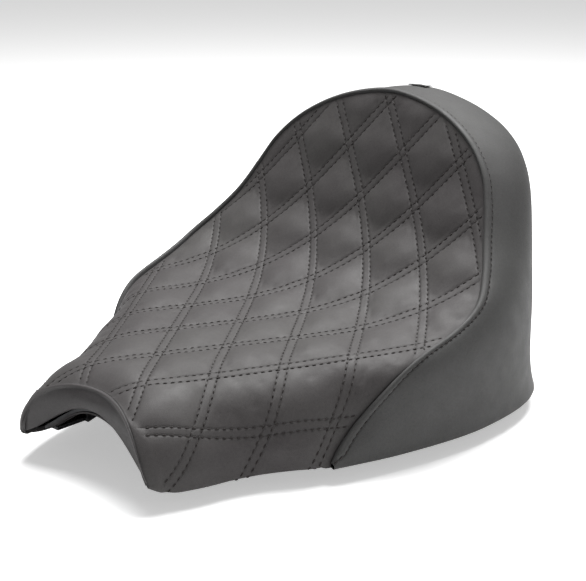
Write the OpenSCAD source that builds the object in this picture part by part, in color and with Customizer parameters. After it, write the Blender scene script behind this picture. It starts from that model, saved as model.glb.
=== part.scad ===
// Solo motorcycle seat with a built-in low backrest.
// Millimetres. +X is the rider's left, -Y is forward, +Z is up. The origin is on the axis of the
// rear mounting screw, level with the seat's bottom plane, where the screw enters the fender.

/* [Quilted insert] */
// Thickness of the stitched cover of the insert
quilt_t = 3; // [2:0.5:4]
// Thickness of the quilting foam under the insert
sew_foam_t = 8; // [5:1:10]
// Gap left between soft layers
layer_gap = 0.4; // [0.3:0.1:0.8]

/* [Smooth covers] */
// Thickness of the side band and the nose panel
cover_t = 2.2; // [1.5:0.1:3]
// Stand-off of the rolled hem along the seam
hem_h = 1.8; // [1:0.2:2.4]

/* [Pan] */
// Height of the pan's roof above the seat's bottom plane
roof_z = 40; // [38:1:42]
// Thickness of the pan's roof
roof_t = 4.5; // [4:0.5:5]
// Thickness of the pan's walls and flanges
wall_t = 3.2; // [2.8:0.2:3.6]
// Height of the frame arch under the nose
arch_h = 40; // [38:1:42]
// Height of the arch over the fender at the rear
rear_arch_h = 14; // [12:1:16]
// Depth of the ribs under the roof
rib_h = 8; // [5:1:12]

/* [Steel brackets] */
// Thickness of the bracket steel
steel_t = 3; // [2.5:0.5:3.5]
// Width of the front tongue
tongue_w = 40; // [34:1:46]
// Width of the rear tab
tab_w = 36; // [32:1:40]

/* [Mounting screw] */
// Thread diameter of the rear mounting screw
screw_d = 8; // [7.5:0.5:8]
// Length of thread below the seat's bottom plane
thread_len = 14; // [10:1:20]
// Free lift of the captive screw
screw_lift = 3; // [2:0.5:3]
// Diameter of the knurled head
knob_d = 22; // [20:1:24]

/* [Rubber feet] */
// Height of the foot faces above the seat's bottom plane
foot_z = 14; // [8:1:20]
// Diameter of a foot
foot_d = 22; // [18:1:24]

/* [Hidden] */

$fn = 48;
vinyl = "#3d3b3c";
band_vinyl = "#4b4b4b";

// ---------- small helpers ----------
function clamp01(t) = min(1, max(0, t));
function smooth(t) = let (u = clamp01(t)) u * u * (3 - 2 * u);
function unit(v) = v / max(norm(v), 1e-9);
function mirror_x(p) = [-p[0], p[1], p[2]];
function choose(n, k) = k == 0 ? 1 : choose(n, k - 1) * (n - k + 1) / k;
function bezier(c, v) = let (n = len(c) - 1)
    [for (k = [0:2]) let (w = [for (i = [0:n]) choose(n, i) * pow(1 - v, n - i) * pow(v, i)])
        w * [for (p = c) p[k]]];

// ---------- centre line of the sitting surface ----------
// s is the distance along the surface, a the distance across it, both in the cover's own cloth.
seat_tilt = 3;             // slope of the sitting zone, degrees
back_rise = 63;            // extra slope of the backrest face, degrees
bend_start = -50;          // where the surface starts to rise
bend_len = 248;            // length of the bend
line_step = 3;
line_from = -270;
line_n = 190;
function slope(s) = seat_tilt + back_rise * smooth((s - bend_start) / bend_len);
line_run = [for (i = 0, y = 0, z = 0; i <= line_n;
                 y = y + line_step * cos(slope(line_from + line_step * (i + 0.5))),
                 z = z + line_step * sin(slope(line_from + line_step * (i + 0.5))),
                 i = i + 1) [line_from + i * line_step, y, z]];
line_y = [for (p = line_run) [p[0], p[1]]];
line_z = [for (p = line_run) [p[0], p[2]]];
ref_s = -148.5;            // station over the front of the sitting zone
ref_y = -405;              // its place
ref_z = 78;
function centre_y(s) = ref_y + lookup(s, line_y) - lookup(ref_s, line_y);
function centre_z(s) = ref_z + lookup(s, line_z) - lookup(ref_s, line_z);

// ---------- shape across the sitting surface ----------
flank_angle = 80;          // how far the flanks turn down, degrees
nose_roll = 10;            // rounding of the front edge
nose_roll_len = 42;
// half width of the flat middle: none at the nose, then a steady taper, then constant
taper = 0.88;
function flat_half(s) =
    s < -228 ? 0
    : s < -122 ? taper / 212 * pow(s + 228, 2)
    : s < -36 ? taper * (s + 175)
    : let (u = min(s, 42) + 36) taper * (139 + u - u * u / 156);
// cloth distance over which the flank turns down
function turn_width(s) = 115 + 43 * (1 - smooth((s + 138) / 65)) - 15 * smooth((-200 - s) / 52);
function nose_seam_s(a) = -220 - 33 * smooth(a / 125);
function turn(a, s) = flank_angle * smooth((a - flat_half(s)) / turn_width(s));
function skin_at(a, s, n = 18) =
    let (m = abs(a),
         angles = [for (i = [0.5:1:n]) turn(m * i / n, s)],
         roll = nose_roll * pow(1 - clamp01((s - nose_seam_s(m)) / nose_roll_len), 2.2),
         x = m / n * (([for (t = angles) cos(t)]) * [for (t = angles) 1]) - roll * sin(turn(m, s)),
         drop = m / n * (([for (t = angles) sin(t)]) * [for (t = angles) 1])
                + roll * cos(turn(m, s)),
         sweep = 0.2 * drop * smooth((150 - s) / 120),
         th = slope(s),
         z = centre_z(s) + sin(th) * sweep - cos(th) * drop)
    [sign(a) * x, centre_y(s) + cos(th) * sweep + sin(th) * drop, z];

// distance across at which the flank reaches height z
function reach(s, z, lo = 60, hi = 260, k = 0) =
    let (mid = (lo + hi) / 2)
    k > 13 ? mid : (skin_at(mid, s)[2] > z ? reach(s, z, mid, hi, k + 1)
                                           : reach(s, z, lo, mid, k + 1));
// distance across at which the nose seam reaches height z
function seam_reach(z, lo = 60, hi = 200, k = 0) =
    let (mid = (lo + hi) / 2)
    k > 13 ? mid : (skin_at(mid, nose_seam_s(mid))[2] > z ? seam_reach(z, mid, hi, k + 1)
                                                          : seam_reach(z, lo, mid, k + 1));

// ---------- the seam between the insert and the side band, in cloth distances ----------
seam_pattern = [[195.5, -117], [187, -102], [179, -78], [176.5, -48], [178, -12], [181, 30],
                [180, 66], [168.6, 97], [154, 129], [141.6, 162], [128.4, 191], [105, 217],
                [72, 237.6], [36, 250], [0, 255]];
function seam_cloth(t) =
    let (n = len(seam_pattern) - 1, u = clamp01(t) * n, i = min(floor(u), n - 1), f = u - i,
         p1 = seam_pattern[i], p2 = seam_pattern[i + 1],
         p0 = i == 0 ? 2 * p1 - p2 : seam_pattern[i - 1],
         p3 = i == n - 1 ? [-p1[0], p1[1]] : seam_pattern[i + 2])
    0.5 * (2 * p1 + (p2 - p0) * f + (2 * p0 - 5 * p1 + 4 * p2 - p3) * f * f
           + (3 * p1 - p0 - 3 * p2 + p3) * f * f * f);

// ---------- plan outline of the bottom edge ----------
join_x = 153;              // where the side band starts
join_y = -357;
wide_y = -193.5;           // widest station
wide_x = 197.3;
rear_len = 170;            // from the widest station to the back
square = 2.9;              // squareness of the rear corners
outline_run = concat(
    [for (i = [0:20]) let (u = i / 20)
        [wide_x - (wide_x - join_x) * pow(1 - u, 1.7), join_y + (wide_y - join_y) * u]],
    [for (i = [1:60]) let (f = 90 * i / 60)
        [wide_x * pow(cos(f), 2 / square), wide_y + rear_len * pow(sin(f), 2 / square)]]);
outline_len = [for (i = 0, d = 0; i < len(outline_run);
                    d = d + (i + 1 < len(outline_run) ? norm(outline_run[i + 1] - outline_run[i]) : 0),
                    i = i + 1) d];
outline_total = outline_len[len(outline_len) - 1];
outline_x = [for (i = [0:len(outline_run) - 1]) [outline_len[i] / outline_total, outline_run[i][0]]];
outline_y = [for (i = [0:len(outline_run) - 1]) [outline_len[i] / outline_total, outline_run[i][1]]];
function outline(q) = [(q > 1 ? -1 : 1) * lookup(min(q, 2 - q), outline_x),
                       lookup(min(q, 2 - q), outline_y)];
function outline_normal(q) =
    let (d = outline(q + 0.01) - outline(max(0, q - 0.01))) unit([d[1], -d[0]]);
// the same outline, moved inward, and a little more beside the join, where the insert ends
function inset_rear(q, d) = outline(q) - (d + 4 * (1 - smooth(q / 0.08))) * outline_normal(q);
// half width of the front part of the outline, under the insert's own flanks
front_line = [for (s = [-253 : 11 : -121]) let (p = skin_at(reach(s, 0), s)) [p[1], p[0]]];
function front_half(y) = lookup(y, front_line);
function front_angle(y) = atan2(10, front_half(y + 5) - front_half(y - 5));

// ---------- arches of the bottom edge ----------
arch_half = 85;
rear_arch_half = 80;
function bell(x, half) = pow(0.5 + 0.5 * cos(180 * clamp01(abs(x) / half)), 0.7);
function arch_z(x) = arch_h * bell(x, arch_half);
function rear_arch_z(x) = rear_arch_h * bell(x, rear_arch_half);

// ---------- side band ----------
// one section of the band, from the seam at t over the rim or shoulder to the bottom edge
function band_control(t) =
    let (c = seam_cloth(t), p = skin_at(c[0], c[1]), o = outline(t), nrm = outline_normal(t),
         b = [o[0], o[1], t > 0.5 ? rear_arch_z(o[0]) : 0],
         h = p[2], k = min(1, h / 72), rim = smooth((t - 0.55) / 0.3),
         out = [b[0] - p[0], b[1] - p[1], 0], n3 = [nrm[0], nrm[1], 0], up = [0, 0, 1])
    [p,
     p + 0.25 * out + (4.8 * k + 56 * rim) * n3 + (3 * k - 3 * rim) * up,
     p + 0.85 * out + (7.2 * k + 59 * rim) * n3 + 20 * rim * up,
     p + 0.80 * out + (6 * k - 24 * rim) * n3 - 0.38 * h * up,
     p + 0.80 * out - 15 * rim * n3 - 0.76 * h * up,
     b];
function band(t, v) = bezier(band_control(t), v);

// ---------- nose face ----------
// i runs from the centre (0) to the tip of a lobe (1), v from the seam down to the arch
lobe_z = 5;
lobe_a = seam_reach(lobe_z);
function nose_top(i) = let (a = lobe_a * i) skin_at(a, nose_seam_s(a));
function nose_foot(i) =
    let (x = nose_top(1)[0] * i) [x, -481 - 11 * pow(x / arch_half, 2), arch_z(x)];
function nose_face(i, v) =
    let (p = nose_top(i), q = nose_foot(i), bulge = 3 * sin(180 * v) * (1 - i))
    p + (q - p) * v + [0, -bulge, 0];

// ---------- rim of the insert, as one closed loop of cloth points ----------
n_nose = 8;                // stations along half of the nose seam
n_low = 8;                 // along the bottom edge of a flank
n_seam = 24;               // along half of the seam with the band
low_from = nose_seam_s(lobe_a);
low_to = seam_pattern[0][1];
function low_z(s) = lobe_z * pow(clamp01((-222 - s) / 30), 2);
function half_rim(i) =
    i <= n_nose ? let (a = lobe_a * i / n_nose) [a, nose_seam_s(a)]
    : i < n_nose + n_low
      ? let (s = low_from + (low_to - low_from) * (i - n_nose) / n_low) [reach(s, low_z(s)), s]
      : seam_cloth((i - n_nose - n_low) / n_seam);
n_half = n_nose + n_low + n_seam;
rim_half = [for (i = [0:n_half]) half_rim(i)];
rim_loop = concat(rim_half, [for (i = [n_half - 1:-1:1]) [-rim_half[i][0], rim_half[i][1]]]);
n_loop = len(rim_loop);
hub = [0, 0];              // cloth point at the middle of the sitting zone
n_in = 9;                  // rings from the hub to the rim, shared by all layers

// ---------- shells from grids of points ----------
function at(g, i, j) = g[i][min(len(g[0]) - 1, max(0, j))];
// the outward direction that two sheets share where they meet at the band's seam
function skin_normal(a, s) = unit(cross(skin_at(a + 1, s) - skin_at(a - 1, s),
                                        skin_at(a, s + 1) - skin_at(a, s - 1)));
function band_normal(t) = unit(cross(band(t, 0.03) - band(t, 0),
                                     band(min(1, t + 0.01), 0) - band(max(0, t - 0.01), 0)));
function nose_normal(i) = unit(cross(nose_face(i, 0.1) - nose_face(i, 0),
                                     nose_face(i + 0.02, 0) - nose_face(max(0, i - 0.02), 0)));
// shared direction of two sheets with normals n and k, long enough to keep their thickness
function mitre(n, k) = let (m = unit(n + k)) m / max(0.6, m * n);
function band_mitre(t) = let (c = seam_cloth(t)) mitre(skin_normal(c[0], c[1]), band_normal(t));
function nose_mitre(i) = let (a = lobe_a * i) mitre(skin_normal(a, nose_seam_s(a)), nose_normal(i));
// unit normals of a grid whose first index closes on itself
function loop_normals(g) =
    [for (i = [0:len(g) - 1]) [for (j = [0:len(g[0]) - 1])
        let (n = len(g), e = at(g, (i + 1) % n, j) - at(g, (i + n - 1) % n, j),
             f = at(g, i, j + 1) - at(g, i, j - 1)) unit(cross(f, e))]];
// unit normals of an open grid
function sheet_normals(g) =
    [for (i = [0:len(g) - 1]) [for (j = [0:len(g[0]) - 1])
        let (e = g[min(len(g) - 1, i + 1)][j] - g[max(0, i - 1)][j],
             f = at(g, i, j + 1) - at(g, i, j - 1)) unit(cross(f, e))]];
function offset_grid(g, nrm, d) =
    [for (i = [0:len(g) - 1]) [for (j = [0:len(g[0]) - 1]) g[i][j] + d * nrm[i][j]]];
function flat(g) = [for (r = g) for (p = r) p];

// closed solid between two open grids of the same size
module sheet_solid(top, low) {
    m = len(top);
    k = len(top[0]);
    b = m * k;
    function id(i, j) = i * k + j;
    faces = concat(
        [for (i = [0:m - 2]) for (j = [0:k - 2]) each
            [[id(i, j), id(i, j + 1), id(i + 1, j + 1)], [id(i, j), id(i + 1, j + 1), id(i + 1, j)]]],
        [for (i = [0:m - 2]) for (j = [0:k - 2]) each
            [[b + id(i, j), b + id(i + 1, j + 1), b + id(i, j + 1)],
             [b + id(i, j), b + id(i + 1, j), b + id(i + 1, j + 1)]]],
        [for (i = [0:m - 2]) each
            [[id(i, 0), id(i + 1, 0), b + id(i + 1, 0)], [id(i, 0), b + id(i + 1, 0), b + id(i, 0)],
             [id(i + 1, k - 1), id(i, k - 1), b + id(i, k - 1)],
             [id(i + 1, k - 1), b + id(i, k - 1), b + id(i + 1, k - 1)]]],
        [for (j = [0:k - 2]) each
            [[id(0, j + 1), id(0, j), b + id(0, j)], [id(0, j + 1), b + id(0, j), b + id(0, j + 1)],
             [id(m - 1, j), id(m - 1, j + 1), b + id(m - 1, j + 1)],
             [id(m - 1, j), b + id(m - 1, j + 1), b + id(m - 1, j)]]]);
    polyhedron(concat(flat(top), flat(low)), faces);
}

// closed solid from rings that start at a point and end at a point; from ring `turn` on, the
// quads are split the other way, so that both sides of a layer have the same facets
module ring_solid(start, rings, end, turn) {
    n = len(rings[0]);
    m = len(rings);
    function id(j, i) = 1 + j * n + i % n;
    last = 1 + m * n;
    faces = concat(
        [for (i = [0:n - 1]) [0, id(0, i + 1), id(0, i)]],
        [for (j = [0:m - 2]) for (i = [0:n - 1])
            let (a = id(j, i), b = id(j, i + 1), c = id(j + 1, i + 1), d = id(j + 1, i)) each
            j < turn ? [[a, b, c], [a, c, d]] : [[a, b, d], [b, c, d]]],
        [for (i = [0:n - 1]) [last, id(m - 1, i), id(m - 1, i + 1)]]);
    polyhedron(concat([start], flat(rings), [end]), faces);
}

// points over the insert, in rings from the hub to the rim
function insert_point(i, r) = let (q = hub + (rim_loop[i] - hub) * r) skin_at(q[0], q[1]);
insert_grid = [for (i = [0:n_loop - 1]) [for (j = [1:n_in]) insert_point(i, j / n_in)]];
function transpose(g) = [for (j = [0:len(g[0]) - 1]) [for (i = [0:len(g) - 1]) g[i][j]]];
hub_normal = [0, -sin(slope(hub[1])), cos(slope(hub[1]))];

// direction of thickness at a station of the half rim where the insert meets another sheet
band_from = 0.03;          // the band starts just above the bottom edge
function is_free(k) = k > n_nose && k < n_nose + n_low;
function rim_mitre(k) = k <= n_nose ? nose_mitre(k / n_nose)
    : band_mitre(max(band_from, (k - n_nose - n_low) / n_seam));
rim_mitres = [for (k = [0:n_half]) is_free(k) ? [0, 0, 0] : rim_mitre(k)];
// directions of thickness of a grid of rings: the normals, but the shared mitre on the ring that
// lies on the rim, except at the stations past the nose and before first, and down the nose
function ring_normals(g, first) =
    let (nrm = loop_normals(g))
    [for (i = [0:n_loop - 1]) let (k = i <= n_half ? i : n_loop - i, m = rim_mitres[k])
        [for (j = [0:len(g[0]) - 1])
            j < n_in - 1 || (k > n_nose && (j > n_in - 1 || k < first)) ? nrm[i][j]
            : i <= n_half ? m : mirror_x(m)]];
insert_normals = ring_normals(insert_grid, n_nose + n_low);

// one layer of the insert out of its first rings; trim pulls the last ring back from the rim
module insert_layer(depth, thick, rings, trim) {
    g = [for (r = insert_grid) [for (j = [0:rings - 1])
        j < rings - 1 ? r[j] : r[j] + trim * unit(r[j - 1] - r[j])]];
    top = transpose(offset_grid(g, insert_normals, -depth));
    low = transpose(offset_grid(g, insert_normals, -depth - thick));
    p = skin_at(hub[0], hub[1]);
    ring_solid(p - depth * hub_normal,
               concat(top, [for (j = [rings - 1:-1:0]) low[j]]),
               p - (depth + thick) * hub_normal, rings);
}

seam_gap = 0.6;            // from a sheet's edge to the line of its seam
module quilted_panel() {
    color(vinyl) insert_layer(0, quilt_t, n_in, seam_gap);
}

module sew_foam() {
    color("#c9c2b0") insert_layer(quilt_t + layer_gap, sew_foam_t, n_in - 1, 0);
}

// ---------- side band ----------
seam_rows = 29;
band_ts = [for (i = [0:seam_rows - 1]) band_from + (1 - band_from) * i / (seam_rows - 1)];
// distances of the first rows from the seam and how far the folded hem stands off there
hem_rows = [seam_gap, 2.5, 5.5, 8, 10];
hem_shape = [0, 0.9, 1, 0.2, 0];
n_hem = len(hem_rows);
n_plain = 10;
function band_width(t) = norm(band(t, 0) - band(t, 1));
function band_row(t) =
    let (w = max(60, band_width(t)), last = hem_rows[n_hem - 1] / w)
    [for (d = hem_rows) band(t, d / w),
     for (j = [1:n_plain]) band(t, last + (1 - last) * pow(j / n_plain, 1.2))];
function mirrored_rows(h) = concat(h, [for (i = [len(h) - 2:-1:0]) [for (p = h[i]) mirror_x(p)]]);

module side_band() {
    g = mirrored_rows([for (t = band_ts) band_row(t)]);
    rise = concat(band_ts, [for (i = [seam_rows - 2:-1:0]) band_ts[i]]);
    nrm = sheet_normals(g);
    last = n_hem + n_plain - 1;
    top = [for (i = [0:len(g) - 1]) [for (j = [0:last])
        let (h = j < n_hem ? hem_h * hem_shape[j] * min(1, band_width(rise[i]) / 60) : 0)
        g[i][j] + h * nrm[i][j]]];
    low = [for (i = [0:len(g) - 1]) [for (j = [0:last])
        let (m = band_mitre(rise[i]), q = g[i][j] - cover_t * nrm[i][j])
        j == 0 ? g[i][j] - cover_t * (i < seam_rows ? m : mirror_x(m))
        : j == last ? [q[0], q[1], g[i][j][2]] : q]];
    color(band_vinyl) sheet_solid(low, top);
}

// ---------- nose ----------
module nose_panel() {
    last = n_nose - 1;     // the panel ends one station short of the lobe tips
    function from_v(i) = seam_gap / norm(nose_foot(i) - nose_top(i));
    g = [for (k = [-last:last]) let (i = abs(k) / n_nose) [for (w = [0, 0.2, 0.45, 0.7, 1])
        let (p = nose_face(i, from_v(i) + (1 - from_v(i)) * w)) k < 0 ? mirror_x(p) : p]];
    low = [for (k = [-last:last]) let (m = rim_mitres[abs(k)]) [for (j = [0:4])
        g[k + last][j] - cover_t * (j > 0 ? [0, -1, 0] : k < 0 ? mirror_x(m) : m)]];
    color(vinyl) sheet_solid(low, g);
}

// curved strip that follows an arch: thick above the arch line by lift, thickness t
module arch_strip(half, lift, t, y0, y1, rear = false) {
    cells = 14;
    xs = [for (i = [-cells:cells]) half * i / cells];
    line = [for (x = xs) [x, (rear ? rear_arch_z(x) : arch_z(x)) + lift]];
    translate([0, y1, 0]) rotate([90, 0, 0]) linear_extrude(y1 - y0)
        polygon(concat(line, [for (i = [len(line) - 1:-1:0]) line[i] + [0, t]]));
}

module nose_binding() {
    color("#222222") arch_strip(66, 0.5, 1.6, -476, -463);
}

module rear_tag() {
    p = band(1, 0.15);
    q = band(1, 0.21);
    d = unit(q - p);
    tilt = atan2(d[2], d[1]);
    color("#2b2b2b") translate(p) rotate([tilt, 0, 0]) translate([-11, 0, 0.5])
        cube([22, 12, 1.2]);
}

// ---------- foam ----------
flange_z = 2.4;            // underside of the pan's flanges
foam_floor = 6.5;          // lowest the foam may come outside the pan's walls
foam_roof = max(roof_z + roof_t, arch_h + flange_z + wall_t) + 0.3;
pan_inset = 32;            // from the outline to the pan's walls
front_lean = 8;            // extra inset of the walls at the nose
wall_front_y = -455;
n_out = 10;                // rings under the band, the nose or the lower flank
foam_band_from = n_nose + n_low + 2;    // from this station on, the band covers the foam's side
function band_t(i) = (i - n_nose - n_low) / n_seam;
// place along the band's section at which it reaches height z
function band_level(t, z, lo = 0.5, hi = 1, k = 0) =
    let (mid = (lo + hi) / 2)
    k > 9 ? mid : (band(t, mid)[2] > z ? band_level(t, z, mid, hi, k + 1)
                                       : band_level(t, z, lo, mid, k + 1));
// outer path of the foam at a station of the half rim, from ring 1 to the bottom
function foam_path(i, j) =
    let (p = insert_grid[i][n_in - 2], q = insert_grid[i][n_in - 1])
    j < n_in ? insert_grid[i][j - 1]
    : i > n_nose && i < foam_band_from
      ? p + (q - p) * (0.7 + 0.3 * (j - n_in) / n_out) * min(1, (p[2] - foam_floor) / (p[2] - q[2]))
    : j == n_in ? q
    : let (v = (j - n_in) / n_out)
      i <= n_nose ? nose_face(i / n_nose, v)
                  : band(band_t(i), foam_reach[i - foam_band_from] * pow(v, 1.3));
foam_reach = [for (i = [foam_band_from:n_half])
    band_level(band_t(i), foam_floor_z(i, outline(band_t(i))[0]))];
// underside of the foam at a station of the half rim, x from the middle, over the pan's arches
function foam_floor_z(i, x) =
    foam_floor + 1 + (i < foam_band_from ? arch_z(x) : i > foam_band_from + 10 ? rear_arch_z(x) : 0);
foam_half_out = [for (i = [0:n_half]) [for (j = [1:n_in + n_out]) foam_path(i, j)]];
function mirrored(h) = concat(h, [for (i = [n_half - 1:-1:1]) [for (p = h[i]) mirror_x(p)]]);
foam_out = mirrored(foam_half_out);
// depth of the foam's skin below the outer surface
deep = quilt_t + sew_foam_t + 2 * layer_gap;
shallow = max(cover_t, quilt_t) + 1.6;
// the foam keeps further away at the tips of the lobes and where the band begins
function skin_depth(i) = shallow + (min(abs(i - n_nose), abs(i - foam_band_from)) <= 2 ? 3 : 0);
wall_gap = 2.5;            // from the foam to the pan's walls
// half width of the pan's front part between its walls
function front_wall(y) = front_half(y) - pan_inset - front_lean * smooth((join_y - y) / 60);
// foot of the foam at the pan's wall
function wall_point(i) =
    i <= n_nose ? [min(nose_foot(i / n_nose)[0], front_wall(wall_front_y)), wall_front_y]
    : is_free(i) ? let (y = max(wall_front_y, insert_grid[i][n_in - 1][1])) [front_wall(y), y]
    : inset_rear(band_t(i), pan_inset);
wall_half = [for (i = [0:n_half]) wall_point(i)];
wall_loop = concat(wall_half, [for (i = [n_half - 1:-1:1]) [-wall_half[i][0], wall_half[i][1]]]);

module foam_core() {
    nrm = ring_normals(foam_out, foam_band_from);
    m = n_in + n_out;
    skin = [for (j = [1:m]) [for (i = [0:n_loop - 1])
        let (k = min(i, n_loop - i),
             q = foam_out[i][j - 1] - (j < n_in ? deep : skin_depth(k)) * nrm[i][j - 1],
             z = foam_floor_z(k, q[0]))
        [q[0], q[1], j == m ? z : max(q[2], z + 0.5 * (m - j))]]];
    foot = [for (i = [0:n_loop - 1])
        let (w = wall_loop[i], o = skin[m - 1][i], p = w + wall_gap * unit([o[0] - w[0], o[1] - w[1]]))
        [p[0], p[1], foam_floor_z(min(i, n_loop - i), p[0])]];
    shelf = [for (p = foot) [p[0], p[1], foam_roof]];
    top = skin_at(hub[0], hub[1]) - deep * hub_normal;
    color("#b9b39f")
        ring_solid(top, concat(skin, [foot, shelf]), [0, centre_y(hub[1]), foam_roof], m);
}

// ---------- base pan ----------
front_cells = 8;
function front_ys(y_from) = [for (i = [0:front_cells]) y_from + (join_y - 10 - y_from) * i / front_cells];
function closed(h) = concat(h, [for (i = [len(h) - 2:-1:0]) [-h[i][0], h[i][1]]]);
// area inside the walls, moved inward by d, or inside the flange's edge
module wall_area(d, y_from) {
    polygon(closed(concat([for (y = front_ys(y_from)) [front_wall(y) - d, y]],
                          [for (i = [0:n_seam]) inset_rear(i / n_seam, pan_inset + d)])));
}
module flange_area() {
    polygon(closed(concat([for (y = front_ys(flange_front_y)) [front_half(y) - flange_inset, y]],
                          [for (i = [0:n_seam]) inset_rear(i / n_seam, flange_inset)])));
}

flange_inset = 6.5;
back_y = wide_y + rear_len;
bracket_holes = [[-12, -372], [12, -372]];
rear_holes = [[-10, -96], [10, -96]];
plate_holes = [[-60, -92], [-30, -92], [30, -92], [60, -92]];
foot_places = [[-64, -318], [64, -318], [-64, -168], [64, -168]];
module at_points(ps) {
    for (p = ps) translate([p[0], p[1], 0]) children();
}
// hole through the roof with a counterbore on its upper side
module roof_hole(r, bore_r) {
    translate([0, 0, roof_z - 1]) cylinder(r = r, h = roof_t + 2);
    translate([0, 0, roof_z + roof_t - 1.6]) cylinder(r = bore_r, h = 3);
}

flange_front_y = -462;
// space under an arch, to cut through a wall from y0 to y1
module arch_cut(half, lift, y0, y1, rear = false) {
    cells = 14;
    xs = [for (i = [-cells:cells]) half * i / cells];
    translate([0, y1, 0]) rotate([90, 0, 0]) linear_extrude(y1 - y0)
        polygon(concat([[-half, -1]], [for (x = xs) [x, (rear ? rear_arch_z(x) : arch_z(x)) + lift]],
                       [[half, -1]]));
}

module base_pan() {
    seat_y = wall_front_y + wall_t;
    color("#1d1d1f") difference() {
        union() {
            difference() {
                union() {
                    translate([0, 0, roof_z]) linear_extrude(roof_t) wall_area(0, wall_front_y);
                    translate([0, 0, flange_z]) linear_extrude(roof_z - flange_z + 1) difference() {
                        wall_area(0, wall_front_y);
                        wall_area(wall_t, seat_y);
                    }
                    translate([0, 0, flange_z]) linear_extrude(wall_t) difference() {
                        flange_area();
                        wall_area(1, wall_front_y + 1);
                    }
                }
                // openings of the walls and flanges over the frame and the fender
                arch_cut(71, flange_z + wall_t / 2, -500, seat_y + 20);
                arch_cut(74, flange_z + wall_t / 2, -80, 10, rear = true);
            }
            arch_strip(72, flange_z, wall_t, -475, wall_front_y + 2);
            arch_strip(75, flange_z, wall_t, back_y - pan_inset - 2, back_y - 9, rear = true);
            ribs();
        }
        at_points(bracket_holes) roof_hole(4.1, 9.2);
        at_points(rear_holes) roof_hole(3, 6);
        at_points(plate_holes) translate([0, 0, roof_z - 1]) cylinder(r = 2.5, h = roof_t + 2);
        at_points(foot_places) roof_hole(4.1, 6.6);
    }
}

rib_x = 92;
rib_len = 34;
module ribs() {
    for (side = [-1, 1]) {
        translate([side * rib_x - 1.5, -336, roof_z - rib_h]) cube([3, 246, rib_h + 1]);
        for (y = [-336, -214, -93])
            translate([side > 0 ? rib_x : -rib_x - rib_len, y, roof_z - rib_h])
                cube([rib_len, 3, rib_h + 1]);
    }
}

// ---------- backrest support ----------
plate_w = 170;
plate_len = 180;
plate_tilt = 6;
plate_y = -82;
plate_round = 55;
function plate_corner(f) = [plate_w / 2 - plate_round * (1 - cos(f)),
                            plate_len - plate_round * (1 - sin(f))];
module back_plate() {
    z0 = roof_z + roof_t + 0.1;
    color("#8b8f94") union() {
        difference() {
            translate([8 - plate_w / 2, plate_y - 24, z0]) cube([plate_w - 16, 25, 2]);
            at_points(plate_holes) translate([0, 0, z0 - 1]) cylinder(r = 2.5, h = 4);
        }
        translate([0, plate_y, z0 + 0.5]) rotate([90 - plate_tilt, 0, 0]) translate([0, 0, -2])
            linear_extrude(2) difference() {
                polygon(concat([[-plate_w / 2, 0], [plate_w / 2, 0]],
                               [for (f = [0:9:90]) plate_corner(f)],
                               [for (f = [90:-9:0]) let (c = plate_corner(f)) [-c[0], c[1]]]));
                for (side = [-1, 1]) translate([side * 42, 55]) circle(r = 20);
                translate([0, 115]) circle(r = 24);
            }
    }
}

module back_plate_rivets() {
    z1 = roof_z + roof_t + 2.1;
    color("#b8bcc0") at_points(plate_holes) {
        translate([0, 0, roof_z - 1.6]) cylinder(r = 4.6, h = 1.55);
        translate([0, 0, roof_z - 0.5]) cylinder(r = 2.4, h = z1 - roof_z + 1.2);
        translate([0, 0, z1 + 0.05]) cylinder(r = 4.6, h = 1.5);
    }
}

// ---------- cover fixings ----------
strip_z = 0.8;
strip_t = 1.4;
// one side's flat strip between two insets of the outline
function strip_points(d) = concat(
    [for (y = [-458 : 16.5 : join_y - 8]) [front_half(y) - d, y]],
    [for (i = [0:16]) inset_rear(0.86 * i / 16, d)]);
module pull_strips() {
    outer = strip_points(6);
    inner = strip_points(21);
    color("#2a2a2a") for (side = [0, 1]) mirror([side, 0, 0])
        translate([0, 0, strip_z]) linear_extrude(strip_t)
            polygon(concat(outer, [for (i = [len(inner) - 1:-1:0]) inner[i]]));
}

staple_w = 11;
function staple_at(q) = let (p = inset_rear(q, 13), n = outline_normal(q)) [p, atan2(n[1], n[0])];
module staples() {
    places = concat(
        [for (y = [-446 : 22 : -372]) [[front_half(y) - 13, y], front_angle(y) - 90]],
        [for (i = [0:15]) staple_at(0.02 + 0.052 * i)]);
    color("#c4c7ca") for (side = [0, 1]) mirror([side, 0, 0]) for (s = places)
        translate([s[0][0], s[0][1], 0.15]) rotate(s[1]) {
            translate([-0.5, -staple_w / 2, 0]) cube([1, staple_w, 0.6]);
            for (e = [-1, 1])
                translate([-0.5, e * (staple_w / 2 - 0.5) - 0.5, 0]) cube([1, 1, 4.8]);
        }
}

// ---------- underside ----------
module pan_liner() {
    color("#2f2f31") translate([0, 0, roof_z - 2.2]) linear_extrude(2) difference() {
        translate([-90, -338]) square([180, 226]);
        at_points(foot_places) circle(r = foot_d / 2 + 4);
    }
}

module bumpers() {
    color("#141414") at_points(foot_places) rotate_extrude()
        polygon([[0, foot_z], [foot_d / 2 - 2, foot_z], [foot_d / 2 - 1, foot_z + 2],
                 [foot_d / 2 + 1, roof_z - 5], [foot_d / 2 + 3, roof_z - 3],
                 [foot_d / 2 + 3, roof_z - 0.05], [4, roof_z - 0.05],
                 [4, roof_z + roof_t - 1.5], [6.2, roof_z + roof_t - 1.5],
                 [5, roof_z + roof_t - 0.1], [0, roof_z + roof_t - 0.1]]);
}

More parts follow.
